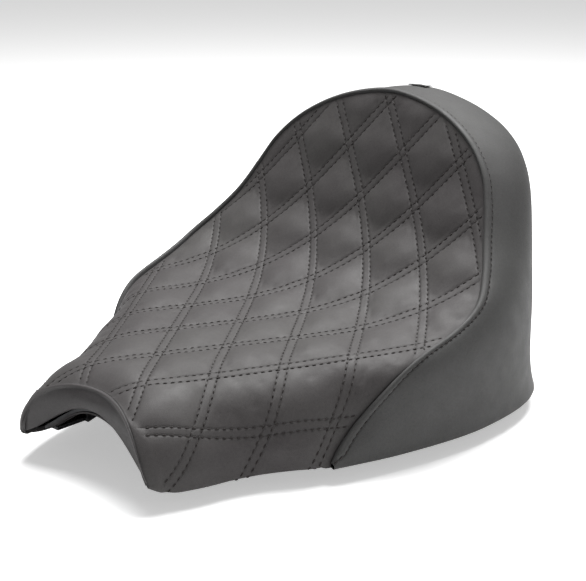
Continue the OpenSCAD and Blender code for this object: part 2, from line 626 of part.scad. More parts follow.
module front_tongue() {
    z0 = roof_z - steel_t - 0.05;
    drop = 7;              // step from the bolted pad down to the tongue
    color("#3a3c40") difference() {
        union() {
            translate([tongue_w / 2, 0, 0]) rotate([0, -90, 0]) linear_extrude(tongue_w)
                polygon([[z0, -346], [z0 + steel_t, -346], [z0 + steel_t, -396],
                         [z0 - drop + steel_t, -408], [z0 - drop + steel_t, -432],
                         [z0 - drop, -432], [z0 - drop, -407], [z0, -395]]);
            translate([0, -432, z0 - drop]) linear_extrude(steel_t) intersection() {
                circle(d = tongue_w);
                translate([-tongue_w, -2 * tongue_w]) square([2 * tongue_w, 2 * tongue_w]);
            }
        }
        at_points(bracket_holes) translate([0, 0, z0 - 1]) cylinder(r = 3.3, h = steel_t + 2);
    }
}

module front_bolts() {
    z0 = roof_z - steel_t - 0.05;
    color("#24262a") at_points(bracket_holes) difference() {
        union() {
            translate([0, 0, z0 - 3.4]) cylinder(r = 5.4, h = 3.35);
            translate([0, 0, z0 - 0.5]) cylinder(r = 3, h = steel_t + roof_t + 0.3);
        }
        translate([0, 0, z0 - 4]) cylinder(r = 2, h = 2.6, $fn = 6);
    }
}

module tee_nuts() {
    color("#a7abaf") at_points(bracket_holes) difference() {
        union() {
            translate([0, 0, roof_z + 0.1]) cylinder(r = 4, h = roof_t - 0.5);
            translate([0, 0, roof_z + roof_t - 1.55]) cylinder(r = 9, h = 1.45);
        }
        translate([0, 0, roof_z - 1]) cylinder(r = 3.05, h = roof_t + 2);
    }
}

tab_z = 3.1;
tab_hole_r = 8;
module rear_bracket() {
    z0 = roof_z - steel_t - 0.05;
    web_y = -64;           // the strap runs down here, inside the rear wall
    color("#3a3c40") difference() {
        union() {
            translate([tab_w / 2, 0, 0]) rotate([0, -90, 0]) linear_extrude(tab_w)
                polygon([[z0, -112], [z0 + steel_t, -112], [z0 + steel_t, web_y],
                         [tab_z + steel_t, web_y], [tab_z + steel_t, 0], [tab_z, 0],
                         [tab_z, web_y - steel_t], [z0, web_y - steel_t]]);
            translate([0, 0, tab_z]) linear_extrude(steel_t) circle(d = tab_w);
        }
        translate([0, 0, tab_z - 1]) cylinder(r = tab_hole_r, h = steel_t + 2);
        at_points(rear_holes) translate([0, 0, z0 - 1]) cylinder(r = 3, h = steel_t + 2);
    }
}

module rear_rivets() {
    z0 = roof_z - steel_t - 0.05;
    color("#b8bcc0") at_points(rear_holes) {
        translate([0, 0, z0 - 1.65]) cylinder(r = 5.4, h = 1.6);
        translate([0, 0, z0 - 0.5]) cylinder(r = 2.9, h = steel_t + roof_t);
        translate([0, 0, roof_z + roof_t - 1.55]) cylinder(r = 5.4, h = 1.4);
    }
}

// ---------- captive mounting screw ----------
bore_r = 4.6;
washer_t = 1.45;
grommet_low = washer_t + 0.1;
grommet_top = tab_z + steel_t + 1.5;
neck_r = 3.3;
module tab_grommet() {
    color("#161616") rotate_extrude()
        polygon([[bore_r, grommet_low], [11.5, grommet_low], [11.5, tab_z - 0.03],
                 [tab_hole_r - 0.03, tab_z - 0.03], [tab_hole_r - 0.03, tab_z + steel_t + 0.03],
                 [11.5, tab_z + steel_t + 0.03], [11.5, grommet_top], [bore_r, grommet_top]]);
}

module retaining_washer() {
    color("#e8e4d8") translate([0, 0, 0.05]) difference() {
        cylinder(r = 8.5, h = washer_t - 0.05);
        translate([0, 0, -1]) cylinder(r = neck_r + 0.05, h = 4);
    }
}

module mounting_screw() {
    head_z = grommet_top + screw_lift + 0.1;
    head_h = 9;
    flutes = 20;
    color("#9a9da1") difference() {
        union() {
            translate([0, 0, -thread_len + 1]) cylinder(r = screw_d / 2, h = thread_len - 1);
            translate([0, 0, -thread_len]) cylinder(r1 = screw_d / 2 - 1, r2 = screw_d / 2, h = 1);
            translate([0, 0, -0.5]) cylinder(r = neck_r, h = head_z + 1);
            translate([0, 0, head_z]) cylinder(r = 7.5, h = 1.2);
            translate([0, 0, head_z + 1]) cylinder(r = knob_d / 2, h = head_h);
        }
        for (i = [0:flutes - 1]) rotate(360 * i / flutes) translate([knob_d / 2 + 0.6, 0, head_z])
            cylinder(r = 1.4, h = head_h + 2, $fn = 24);
        translate([-knob_d, -1.1, head_z + head_h - 1]) cube([2 * knob_d, 2.2, 3]);
    }
}

quilted_panel();
sew_foam();
side_band();
nose_panel();
nose_binding();
rear_tag();
foam_core();
base_pan();
back_plate();
back_plate_rivets();
pull_strips();
staples();
pan_liner();
bumpers();
front_tongue();
front_bolts();
tee_nuts();
rear_bracket();
rear_rivets();
tab_grommet();
retaining_washer();
mounting_screw();
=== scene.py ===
import math
import bpy
import numpy as np
from mathutils import Matrix, Vector
from mathutils.geometry import delaunay_2d_cdt


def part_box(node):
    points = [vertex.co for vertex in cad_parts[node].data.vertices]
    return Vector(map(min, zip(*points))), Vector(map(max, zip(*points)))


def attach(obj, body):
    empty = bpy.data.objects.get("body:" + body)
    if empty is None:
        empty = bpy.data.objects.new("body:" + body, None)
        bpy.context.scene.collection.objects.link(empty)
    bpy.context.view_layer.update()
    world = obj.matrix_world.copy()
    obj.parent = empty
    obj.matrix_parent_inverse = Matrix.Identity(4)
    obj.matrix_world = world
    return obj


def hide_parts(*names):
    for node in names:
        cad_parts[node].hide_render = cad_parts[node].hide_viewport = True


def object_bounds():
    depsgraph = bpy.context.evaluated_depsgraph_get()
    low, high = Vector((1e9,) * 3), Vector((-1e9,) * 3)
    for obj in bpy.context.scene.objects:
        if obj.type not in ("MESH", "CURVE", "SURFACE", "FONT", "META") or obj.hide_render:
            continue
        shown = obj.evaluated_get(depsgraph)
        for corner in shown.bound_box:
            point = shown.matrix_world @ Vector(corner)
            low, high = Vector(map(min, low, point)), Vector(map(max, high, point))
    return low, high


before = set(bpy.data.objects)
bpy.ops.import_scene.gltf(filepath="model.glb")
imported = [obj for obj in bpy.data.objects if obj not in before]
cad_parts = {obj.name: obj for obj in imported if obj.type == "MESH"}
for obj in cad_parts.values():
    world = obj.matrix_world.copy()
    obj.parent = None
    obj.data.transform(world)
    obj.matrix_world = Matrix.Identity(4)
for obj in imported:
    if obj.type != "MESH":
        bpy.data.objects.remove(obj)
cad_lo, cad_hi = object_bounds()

MM = 0.001


# ---------------------------------------------------------------- shape of the seat, in millimetres
def smooth(t):
    t = np.clip(t, 0, 1)
    return t * t * (3 - 2 * t)


def slope(s):
    return 3 + 63 * smooth((s + 50) / 248)


_ls = np.arange(-275, 301, 1.0)
_lm = np.radians(slope((_ls[1:] + _ls[:-1]) / 2))
_ly = np.r_[0, np.cumsum(np.cos(_lm))]
_lz = np.r_[0, np.cumsum(np.sin(_lm))]
_ly += -405 - np.interp(-148.5, _ls, _ly)
_lz += 78 - np.interp(-148.5, _ls, _lz)


TAPER = 0.88


def flat_half(s):
    u = np.minimum(s, 42) + 36
    return TAPER * np.where(s < -228, 0, np.where(s < -122, (s + 228) ** 2 / 212,
                            np.where(s < -36, s + 175, 139 + u - u * u / 156)))


def turn_width(s):
    return 115 + 43 * (1 - smooth((s + 138) / 65)) - 15 * smooth((-200 - s) / 52)


def nose_seam_s(a):
    return -220 - 33 * smooth(np.abs(a) / 125)


def turn(m, s):
    return 80 * smooth((m - flat_half(s)) / turn_width(s))


def skin(a, s, n=18):
    """Cloth point (a across, s along) to its place on the seat."""
    a, s = np.broadcast_arrays(np.asarray(a, float), np.asarray(s, float))
    m = np.abs(a)
    u = (np.arange(n) + 0.5) / n
    t = np.radians(turn(m[..., None] * u, s[..., None]))
    roll = 10 * (1 - np.clip((s - nose_seam_s(m)) / 42, 0, 1)) ** 2.2
    end = np.radians(turn(m, s))
    x = m * np.cos(t).mean(-1) - roll * np.sin(end)
    d = m * np.sin(t).mean(-1) + roll * np.cos(end)
    sweep = 0.2 * d * smooth((150 - s) / 120)
    th = np.radians(slope(s))
    z = np.interp(s, _ls, _lz) + np.sin(th) * sweep - np.cos(th) * d
    return np.stack([np.sign(a) * x, np.interp(s, _ls, _ly) + np.cos(th) * sweep + np.sin(th) * d, z], -1)


def unit(v):
    return v / np.maximum(np.linalg.norm(v, axis=-1, keepdims=True), 1e-12)


def reach(s, z):
    lo, hi = np.full_like(s, 60.0), np.full_like(s, 260.0)
    for _ in range(30):
        mid = (lo + hi) / 2
        up = skin(mid, s)[..., 2] > z
        lo, hi = np.where(up, mid, lo), np.where(up, hi, mid)
    return (lo + hi) / 2


SEAM = np.array([[195.5, -117], [187, -102], [179, -78], [176.5, -48], [178, -12], [181, 30], [180, 66],
                 [168.6, 97], [154, 129], [141.6, 162], [128.4, 191], [105, 217], [72, 237.6], [36, 250],
                 [0, 255]], float)


def seam_cloth(t):
    n = len(SEAM) - 1
    p = np.vstack([2 * SEAM[0] - SEAM[1], SEAM, SEAM[-2] * [-1, 1]])
    u = np.clip(t, 0, 1) * n
    i = np.minimum(np.floor(u).astype(int), n - 1)
    f = (u - i)[..., None]
    p0, p1, p2, p3 = p[i], p[i + 1], p[i + 2], p[i + 3]
    return 0.5 * (2 * p1 + (p2 - p0) * f + (2 * p0 - 5 * p1 + 4 * p2 - p3) * f * f
                  + (3 * p1 - p0 - 3 * p2 + p3) * f ** 3)


_u = np.linspace(0, 1, 81)
_f = np.linspace(0, math.pi / 2, 241)[1:]
_run = np.vstack([np.stack([197.3 - 44.3 * (1 - _u) ** 1.7, -357 + 163.5 * _u], -1),
                  np.stack([197.3 * np.maximum(np.cos(_f), 0) ** (2 / 2.9),
                            -193.5 + 170 * np.sin(_f) ** (2 / 2.9)], -1)])
_len = np.r_[0, np.cumsum(np.linalg.norm(np.diff(_run, axis=0), axis=1))]
_len /= _len[-1]


def outline(q):
    w = np.minimum(q, 2 - q)
    return np.stack([np.where(q > 1, -1, 1) * np.interp(w, _len, _run[:, 0]), np.interp(w, _len, _run[:, 1])], -1)


def outline_normal(q):
    d = outline(q + 0.01) - outline(np.maximum(0, q - 0.01))
    return unit(np.stack([d[..., 1], -d[..., 0]], -1))


def bell(x, half):
    return (0.5 + 0.5 * np.cos(np.pi * np.clip(np.abs(x) / half, 0, 1))) ** 0.7


def arch_z(x):
    return 40 * bell(x, 85)


def rear_arch_z(x):
    return 14 * bell(x, 80)


def band_control(t):
    c = seam_cloth(t)
    p = skin(c[..., 0], c[..., 1])
    o, nr = outline(t), outline_normal(t)
    z0 = np.zeros_like(t)
    b = np.stack([o[..., 0], o[..., 1], np.where(t > 0.5, rear_arch_z(o[..., 0]), 0)], -1)
    h = p[..., 2]
    k = np.minimum(1, h / 72)
    rim = smooth((t - 0.55) / 0.3)
    out = np.stack([b[..., 0] - p[..., 0], b[..., 1] - p[..., 1], z0], -1)
    n3 = np.stack([nr[..., 0], nr[..., 1], z0], -1)
    up = np.array([0, 0, 1.0])
    e = lambda w: w[..., None]
    return np.stack([p, p + 0.25 * out + e(4.8 * k + 56 * rim) * n3 + e(3 * k - 3 * rim) * up,
                     p + 0.85 * out + e(7.2 * k + 59 * rim) * n3 + e(20 * rim) * up,
                     p + 0.80 * out + e(6 * k - 24 * rim) * n3 - e(0.38 * h) * up,
                     p + 0.80 * out - e(15 * rim) * n3 - e(0.76 * h) * up, b], -2)


def band(t, v):
    """Band surface on a grid: t along the seam from the front (0) to the middle of the back (1), v down."""
    v = np.asarray(v, float)[..., None]
    w = np.concatenate([math.comb(5, i) * (1 - v) ** (5 - i) * v ** i for i in range(6)], -1)
    return np.einsum("...i,...ik->...k", w, band_control(np.asarray(t, float)))


LOBE_Z = 9.0
_la = np.linspace(60, 200, 1401)
LOBE_A = float(_la[np.argmax(skin(_la, nose_seam_s(_la))[:, 2] < LOBE_Z)])


# ---------------------------------------------------------------- noise and mesh helpers
def lattice_noise(p, scale, seed):
    """Smooth value noise in 3-D, from -1 to 1."""
    q = p / scale
    i = np.floor(q).astype(np.int64)
    f = q - i
    f = f * f * (3 - 2 * f)

    def h(dx, dy, dz):
        k = (i[..., 0] + dx) * 73856093 ^ (i[..., 1] + dy) * 19349663 ^ (i[..., 2] + dz) * 83492791 ^ seed * 2654435761
        k = (k ^ (k >> 13)) * 1274126177 & 0xFFFFFFFF
        k = (k ^ (k >> 16)) & 0xFFFF
        return k / 32767.5 - 1
    out = 0
    for dx in (0, 1):
        for dy in (0, 1):
            for dz in (0, 1):
                w = (f[..., 0] if dx else 1 - f[..., 0]) * (f[..., 1] if dy else 1 - f[..., 1]) \
                    * (f[..., 2] if dz else 1 - f[..., 2])
                out = out + w * h(dx, dy, dz)
    return out


def noise(p, scale, seed, octaves=3):
    out, amp, total = 0, 1.0, 0.0
    for k in range(octaves):
        out = out + amp * lattice_noise(p, scale / 2 ** k, seed + k)
        total += amp
        amp *= 0.5
    return out / total


def grid_normals(g, closed=False):
    if closed:
        e = np.roll(g, -1, 0) - np.roll(g, 1, 0)
    else:
        e = np.gradient(g, axis=0)
    f = np.gradient(g, axis=1)
    return unit(np.cross(f, e))


def make(name, points, faces, material, body="seat", attrs=None, shade=True):
    """A mesh object from points in millimetres."""
    mesh = bpy.data.meshes.new(name)
    mesh.from_pydata((np.asarray(points, float).reshape(-1, 3) * MM).tolist(), [], faces)
    mesh.validate()
    if shade:
        mesh.shade_smooth()
    for key, val in (attrs or {}).items():
        at = mesh.attributes.new(key, "FLOAT", "POINT")
        at.data.foreach_set("value", np.asarray(val, np.float32).ravel())
    ob = bpy.data.objects.new(name, mesh)
    bpy.context.scene.collection.objects.link(ob)
    mesh.materials.append(material)
    if body:
        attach(ob, body)
    return ob


def grid_faces(n, m, closed=False, flip=False):
    i = np.arange(n if closed else n - 1)[:, None]
    j = np.arange(m - 1)[None, :]
    a, b = i * m + j, i * m + j + 1
    c, d = ((i + 1) % n) * m + j + 1, ((i + 1) % n) * m + j
    f = np.stack([a, b, c, d], -1).reshape(-1, 4)
    return (f[:, ::-1] if flip else f).tolist()


# ---------------------------------------------------------------- materials
def rgb(v):
    """A display colour, 0 to 255, as linear light."""
    c = [x / 255 for x in v]
    return tuple(x / 12.92 if x <= 0.04045 else ((x + 0.055) / 1.055) ** 2.4 for x in c) + (1,)


class Nodes:
    def __init__(self, name):
        self.m = bpy.data.materials.new(name)
        self.m.use_nodes = True
        self.t = self.m.node_tree
        self.t.nodes.clear()
        self.out = self.t.nodes.new("ShaderNodeOutputMaterial")
        self.p = self.t.nodes.new("ShaderNodeBsdfPrincipled")
        self.t.links.new(self.p.outputs[0], self.out.inputs[0])
        self.pos = self.new("ShaderNodeTexCoord").outputs["Object"]

    def new(self, kind, **kw):
        n = self.t.nodes.new(kind)
        for k, v in kw.items():
            setattr(n, k, v)
        return n

    def link(self, a, b):
        self.t.links.new(a, b)

    def set(self, n, key, val):
        if hasattr(val, "links"):
            self.link(val, n.inputs[key])
        else:
            n.inputs[key].default_value = val

    def noise(self, scale, detail=4, rough=0.55, vec=None, dist=0.0):
        n = self.new("ShaderNodeTexNoise")
        self.link(vec or self.pos, n.inputs["Vector"])
        n.inputs["Scale"].default_value = scale
        n.inputs["Detail"].default_value = detail
        n.inputs["Roughness"].default_value = rough
        n.inputs["Distortion"].default_value = dist
        return n.outputs[0]

    def cells(self, scale, feature="F1", vec=None, rand=1.0):
        n = self.new("ShaderNodeTexVoronoi", feature=feature)
        self.link(vec or self.pos, n.inputs["Vector"])
        n.inputs["Scale"].default_value = scale
        n.inputs["Randomness"].default_value = rand
        return n.outputs["Distance"]

    def math(self, op, a, b=0.5, c=None, clamp=False):
        n = self.new("ShaderNodeMath", operation=op, use_clamp=clamp)
        self.set(n, 0, a)
        self.set(n, 1, b)
        if c is not None:
            self.set(n, 2, c)
        return n.outputs[0]

    def ramp(self, val, lo, hi, a=0.0, b=1.0):
        n = self.new("ShaderNodeMapRange")
        self.set(n, 0, val)
        for k, v in zip((1, 2, 3, 4), (lo, hi, a, b)):
            n.inputs[k].default_value = v
        return n.outputs[0]

    def mix(self, f, a, b):
        n = self.new("ShaderNodeMix", data_type="RGBA")
        self.set(n, 0, f)
        self.set(n, 6, a)
        self.set(n, 7, b)
        return n.outputs[2]

    def attr(self, name):
        return self.new("ShaderNodeAttribute", attribute_name=name).outputs["Fac"]

    def stretch(self, x, y, z):
        n = self.new("ShaderNodeMapping")
        self.link(self.pos, n.inputs[0])
        n.inputs["Scale"].default_value = (x, y, z)
        return n.outputs[0]

    def bump(self, height, dist, strength=1.0):
        n = self.new("ShaderNodeBump")
        self.link(height, n.inputs["Height"])
        n.inputs["Distance"].default_value = dist
        n.inputs["Strength"].default_value = strength
        prev = self.p.inputs["Normal"]
        if prev.is_linked:
            self.link(prev.links[0].from_socket, n.inputs["Normal"])
        self.link(n.outputs[0], prev)

    def finish(self, color, rough, metal=0.0, spec=0.5, sheen=0.0, coat=0.0):
        self.set(self.p, "Base Color", color)
        self.set(self.p, "Roughness", rough)
        self.set(self.p, "Metallic", metal)
        self.set(self.p, "Specular IOR Level", spec)
        self.set(self.p, "Sheen Weight", sheen)
        self.set(self.p, "Coat Weight", coat)
        return self.m


def vinyl(name, dark, light, dust_and_shade=None, painted_seam_highlight=None, rough=(0.42, 0.6), grain=1.0):
    """Grained upholstery vinyl: pebble grain, soft tone changes, grooves darkened with dust and painted shade, and an
    optional painted highlight.
    """
    n = Nodes(name)
    tone = n.noise(9, 3)
    fine = n.noise(420, 3)
    pebble = n.cells(900, "DISTANCE_TO_EDGE")
    skin_bump = n.math("MINIMUM", pebble, 0.28)
    col = n.mix(n.ramp(tone, 0.3, 0.7), rgb(dark), rgb(light))
    col = n.mix(n.ramp(fine, 0.35, 0.7, 0, 0.25), col, rgb([min(255, v * 1.25) for v in light]))
    col = n.mix(n.ramp(pebble, 0.0, 0.07, 0.5, 0.0), col, rgb([v * 0.55 for v in dark]))
    # painted shade, with some dust: grooves and seams made darker by a per-point mask
    if dust_and_shade:
        col = n.mix(n.math("MULTIPLY", n.attr(dust_and_shade), 0.6), col, rgb([v * 0.45 for v in dark]))
    # painted highlight: a lighter line along the ridge of the nose seam
    if painted_seam_highlight:
        col = n.mix(n.math("MULTIPLY", n.attr(painted_seam_highlight), 0.5), col, rgb([v * 1.8 for v in light]))
    r = n.ramp(n.noise(60, 4), 0.3, 0.7, *rough)
    n.bump(skin_bump, 0.00028 * grain, 0.55)
    n.bump(n.noise(160, 3), 0.0002, 0.2)
    return n.finish(col, r, spec=0.4, sheen=0.06)


def thread(name, color):
    n = Nodes(name)
    twist = n.new("ShaderNodeTexWave", wave_type="BANDS", bands_direction="DIAGONAL")
    n.link(n.pos, twist.inputs["Vector"])
    twist.inputs["Scale"].default_value = 900
    twist.inputs["Distortion"].default_value = 2
    col = n.mix(n.ramp(twist.outputs["Fac"], 0, 1), rgb([v * 0.7 for v in color]), rgb(color))
    n.bump(twist.outputs["Fac"], 0.0002, 0.6)
    return n.finish(col, 0.55, spec=0.35, sheen=0.15)


def foam(name, color, pore=700):
    n = Nodes(name)
    c = n.cells(pore)
    col = n.mix(n.ramp(c, 0.1, 0.6), rgb(color), rgb([v * 0.72 for v in color]))
    col = n.mix(n.ramp(n.noise(14, 3), 0.4, 0.7, 0, 0.35), col, rgb([v * 0.85 for v in color]))
    n.bump(c, 0.0006, 0.7)
    return n.finish(col, 0.92, spec=0.2)


def plastic(name, color, rough=(0.5, 0.65), scale=1200):
    n = Nodes(name)
    c = n.noise(scale, 2)
    col = n.mix(n.ramp(n.noise(18, 4), 0.35, 0.7), rgb(color), rgb([min(255, v * 1.25 + 3) for v in color]))
    n.bump(c, 0.00022, 0.45)
    return n.finish(col, n.ramp(n.noise(40, 4), 0.3, 0.7, *rough), spec=0.45)


def rubber(name, color=(30, 30, 31)):
    n = Nodes(name)
    col = n.mix(n.ramp(n.noise(55, 4), 0.4, 0.75, 0, 0.6), rgb(color), rgb([v + 22 for v in color]))
    n.bump(n.noise(900, 3), 0.0002, 0.4)
    return n.finish(col, n.ramp(n.noise(90, 3), 0.3, 0.7, 0.68, 0.88), spec=0.3)


def metal(name, color, rough=(0.28, 0.42), brushed=True, wear=0.0, metallic=1.0):
    n = Nodes(name)
    vec = n.stretch(1, 14, 1) if brushed else n.pos
    streak = n.noise(380, 3, vec=vec)
    col = n.mix(n.ramp(streak, 0.35, 0.7), rgb(color), rgb([min(255, v * 1.15) for v in color]))
    col = n.mix(n.ramp(n.noise(70, 5), 0.58, 0.75, 0, wear), col, rgb([v * 0.5 for v in color]))
    n.bump(streak, 0.00006, 0.5)
    return n.finish(col, n.ramp(streak, 0.3, 0.7, *rough), metal=metallic)


def painted(name, color=(32, 33, 35)):
    n = Nodes(name)
    peel = n.noise(260, 2)
    chips = n.ramp(n.noise(120, 6), 0.68, 0.72, 0, 1)
    col = n.mix(chips, rgb(color), rgb((120, 118, 114)))
    n.bump(peel, 0.0003, 0.25)
    m = n.finish(col, n.ramp(n.noise(50, 3), 0.3, 0.7, 0.3, 0.45), metal=chips)
    return m


def cloth(name, color, pitch=1500):
    n = Nodes(name)
    a = n.new("ShaderNodeTexWave", wave_type="BANDS", bands_direction="X")
    b = n.new("ShaderNodeTexWave", wave_type="BANDS", bands_direction="Y")
    for w in (a, b):
        n.link(n.pos, w.inputs["Vector"])
        w.inputs["Scale"].default_value = pitch / 6
        w.inputs["Distortion"].default_value = 0.6
    weave = n.math("MAXIMUM", a.outputs["Fac"], b.outputs["Fac"])
    col = n.mix(n.ramp(weave, 0.3, 1), rgb([v * 0.6 for v in color]), rgb(color))
    n.bump(weave, 0.0003, 0.6)
    n.bump(n.noise(700, 3), 0.0003, 0.4)
    return n.finish(col, 0.9, spec=0.2, sheen=0.3)


INSERT = vinyl("insert_vinyl", (59, 55, 56), (66, 64, 63), dust_and_shade="dust_and_shade", rough=(0.56, 0.68))
BAND = vinyl("band_vinyl", (58, 57, 57), (65, 65, 64), dust_and_shade="dust_and_shade", rough=(0.54, 0.66))
NOSE = vinyl("nose_vinyl", (54, 51, 52), (61, 59, 59), dust_and_shade="dust_and_shade", painted_seam_highlight="painted_seam_highlight", rough=(0.5, 0.62))
THREAD = thread("stitch_thread", (33, 25, 22))

# ---------------------------------------------------------------- quilted insert
LA, LS = 33.6, 49.5                       # the quilting lattice in the cloth: half a diamond across and along
PERP = LA * LS / math.hypot(LA, LS)       # distance between a line and the middle of its cells
ROW = 3.7                                 # each line is two stitch rows, this far either side
LINES = range(-7, 8, 2)
PITCH = 6.3
FOLD_R = 3.0
SINK = 2.0                                # depth of the groove at a seam

_sg = np.linspace(-275, -90, 371)
_a0 = reach(_sg, 0.5 + 8.5 * np.clip((-232 - _sg) / 21, 0, 1.3) ** 2)


def fold_start(s):
    return np.where(s < -90, np.interp(s, _sg, _a0), 1e3)


def fold_len(s):
    """Width of the turned-under edge: narrow at the tips of the nose."""
    return 4.5 + 11.5 * smooth((s + 250) / 25)


def turn_under(p, t, n, e, r=FOLD_R, most=1.7):
    """Carries points on by e along tangent t, rolled under round radius r."""
    ang = np.clip(e / r, 0, most)
    rest = np.maximum(e - r * most, 0)[..., None]
    s, c = np.sin(ang)[..., None], np.cos(ang)[..., None]
    return p + r * s * t - r * (1 - c) * n + rest * (c * t - s * n), c * n + s * t


def insert_base(a, s):
    """Place and outward normal of a cloth point, folded under at the bottom edge of the flanks."""
    m = np.abs(a)
    ain = np.minimum(m, fold_start(s))
    da = skin(ain + 0.5, s) - skin(np.maximum(ain - 0.5, 0.001), s)
    ds = skin(ain, s + 0.5) - skin(ain, s - 0.5)
    n = unit(np.cross(da, ds))
    p, n = turn_under(skin(ain, s), unit(da), n, m - ain)
    flip = np.where(a < 0, -1, 1)[..., None] * [1, 0, 0] + [0, 1, 1]
    return p * flip, n * flip


def seam_frame(t):
    """Point of the band seam and the outward direction its two sheets share."""
    c = seam_cloth(t)
    p, n = insert_base(c[..., 0], c[..., 1])
    f = band(t, np.full_like(t, 0.03)) - band(t, np.zeros_like(t))
    e = band(np.minimum(1, t + 0.01), np.zeros_like(t)) - band(np.maximum(0, t - 0.01), np.zeros_like(t))
    return p, unit(n + unit(np.cross(f, e)))


# rim of the insert in the cloth plane, one half from the middle of the nose to the middle of the back
tip_a = float(np.interp(LOBE_A, [0, 300], [0, 300]))
tip_s = float(nose_seam_s(tip_a))
tip_end = float(fold_start(np.array(tip_s)) + fold_len(tip_s))
nose_a = np.linspace(0, tip_end, 86)
nose_rim = np.stack([nose_a, nose_seam_s(nose_a)], -1)
seam_t = np.linspace(0, 1, 330)
seam_rim = seam_cloth(seam_t)
seam_dir = (SEAM[0] - SEAM[1]) / np.linalg.norm(SEAM[0] - SEAM[1])
tail = SEAM[0] + np.linspace(16, 1.8, 9)[:, None] * seam_dir
low_s = np.linspace(nose_rim[-1, 1], tail[0, 1], 80)[1:]
low_rim = np.stack([fold_start(low_s) + fold_len(low_s), low_s], -1)
low_rim[-1] = tail[0]
half_rim = np.vstack([nose_rim, low_rim, tail[1:], seam_rim])
rim = np.vstack([half_rim, (half_rim[1:-1] * [-1, 1])[::-1]])
seam_line = np.vstack([tail, seam_rim])
seam_mitre = seam_frame(np.r_[np.zeros(len(tail)), seam_t])[1]


def nearest(points, line):
    """Distance to a dense line of points, and the index of the nearest one."""
    best, idx = np.empty(len(points)), np.empty(len(points), int)
    for k in range(0, len(points), 4000):
        q = points[k:k + 4000]
        d = ((q[:, None, :] - line[None]) ** 2).sum(-1)
        idx[k:k + 4000] = d.argmin(1)
        best[k:k + 4000] = np.sqrt(d.min(1))
    return best, idx


def dense(line, step=0.8):
    seg = np.linalg.norm(np.diff(line, axis=0), axis=1)
    at = np.r_[0, np.cumsum(seg)]
    w = np.linspace(0, at[-1], int(at[-1] / step) + 2)
    return np.stack([np.interp(w, at, line[:, k]) for k in range(line.shape[1])], -1)


seam_dense = dense(np.hstack([seam_line, seam_mitre]))
nose_dense = dense(nose_rim)


def inside(points, poly):
    x, y = points[:, 0], points[:, 1]
    res = np.zeros(len(points), bool)
    for k in range(len(poly)):
        (x0, y0), (x1, y1) = poly[k], poly[(k + 1) % len(poly)]
        if y0 == y1:
            continue
        hit = (y0 > y) != (y1 > y)
        res[hit] ^= x[hit] < (x1 - x0) * (y[hit] - y0) / (y1 - y0) + x0
    return res


def line_distance(w):
    """Distance in the cloth from the nearest line of one family, w being its lattice coordinate."""
    d = np.abs(np.mod(w, 2) - 1)
    return np.where(np.abs(w) > 7, np.abs(np.abs(w) - 7), d) * PERP


PUFF = 3.3                                # height of a full diamond over its stitch rows
DROP = 1.6                                # the stitch rows lie this far under the smooth sheet
NOSE_PLAIN = 13.0                         # plain margin along the lower part of the nose seam


def pillow(d):
    x = np.clip((d - ROW) / (PERP - ROW), 0, 1)
    return 1 - (1 - x) ** 2.4


def billow_grid():
    """The insert as a coarse sheet of cloth, sewn down along the stitch rows: lattice lines, use, places, pins."""
    off = np.r_[0, np.linspace(ROW, PERP, 7)] / PERP
    w = np.unique(np.round(np.concatenate([m + sgn * off for m in range(-9, 10, 2) for sgn in (-1, 1)]), 9))
    uu, vv = np.meshgrid(w, w, indexing="ij")
    a, s = (uu + vv) / 2 * LA, (uu - vv) / 2 * LS
    use = inside(np.stack([a, s], -1).reshape(-1, 2), rim).reshape(a.shape)
    sewn = np.minimum(line_distance(uu), line_distance(vv)) < ROW + 0.01
    edge = ~(use & np.roll(use, 1, 0) & np.roll(use, -1, 0) & np.roll(use, 1, 1) & np.roll(use, -1, 1))
    return w, use, a, s, sewn | edge


def billow():
    """Cloth simulation of the padded diamonds. Returns lattice lines and heights over the sewn sheet, in mm."""
    w, use, a, s, pinned = billow_grid()
    n = len(w)
    index = np.full(n * n, -1)
    index[use.ravel()] = np.arange(use.sum())
    index = index.reshape(n, n)
    p, nrm = insert_base(a[use], s[use])
    quad = use[:-1, :-1] & use[1:, :-1] & use[:-1, 1:] & use[1:, 1:]
    i, j = np.nonzero(quad)
    faces = np.stack([index[i, j], index[i + 1, j], index[i + 1, j + 1], index[i, j + 1]], -1)
    mesh = bpy.data.meshes.new("billow")
    mesh.from_pydata((p * MM).tolist(), [], faces.tolist())
    ob = bpy.data.objects.new("billow", mesh)
    bpy.context.scene.collection.objects.link(ob)
    ob.vertex_groups.new(name="pin").add(np.nonzero(pinned[use])[0].tolist(), 1.0, "REPLACE")
    outward = mesh.polygons[len(faces) // 2].normal.dot(Vector(nrm[faces[len(faces) // 2, 0]]))
    cloth = ob.modifiers.new("cloth", "CLOTH")
    cloth.settings.quality = 5
    cloth.settings.use_pressure = True
    cloth.settings.uniform_pressure_force = math.copysign(100.0, outward)
    cloth.settings.shrink_min = -0.02
    cloth.settings.bending_stiffness = 2.0
    cloth.settings.vertex_group_mass = "pin"
    cloth.settings.effector_weights.gravity = 0
    cloth.point_cache.frame_start = 1
    cloth.point_cache.frame_end = SIM_FRAMES
    for frame_no in range(1, SIM_FRAMES + 1):
        bpy.context.scene.frame_set(frame_no)
    done = ob.evaluated_get(bpy.context.evaluated_depsgraph_get()).to_mesh()
    q = np.empty(len(p) * 3)
    done.vertices.foreach_get("co", q)
    bpy.data.objects.remove(ob)
    bpy.data.meshes.remove(mesh)
    bpy.context.scene.frame_set(1)
    height = np.zeros((n, n))
    height[use] = np.einsum("ij,ij->i", q.reshape(-1, 3) / MM - p, nrm)
    return w, np.clip(height, 0, SIM_CAP)


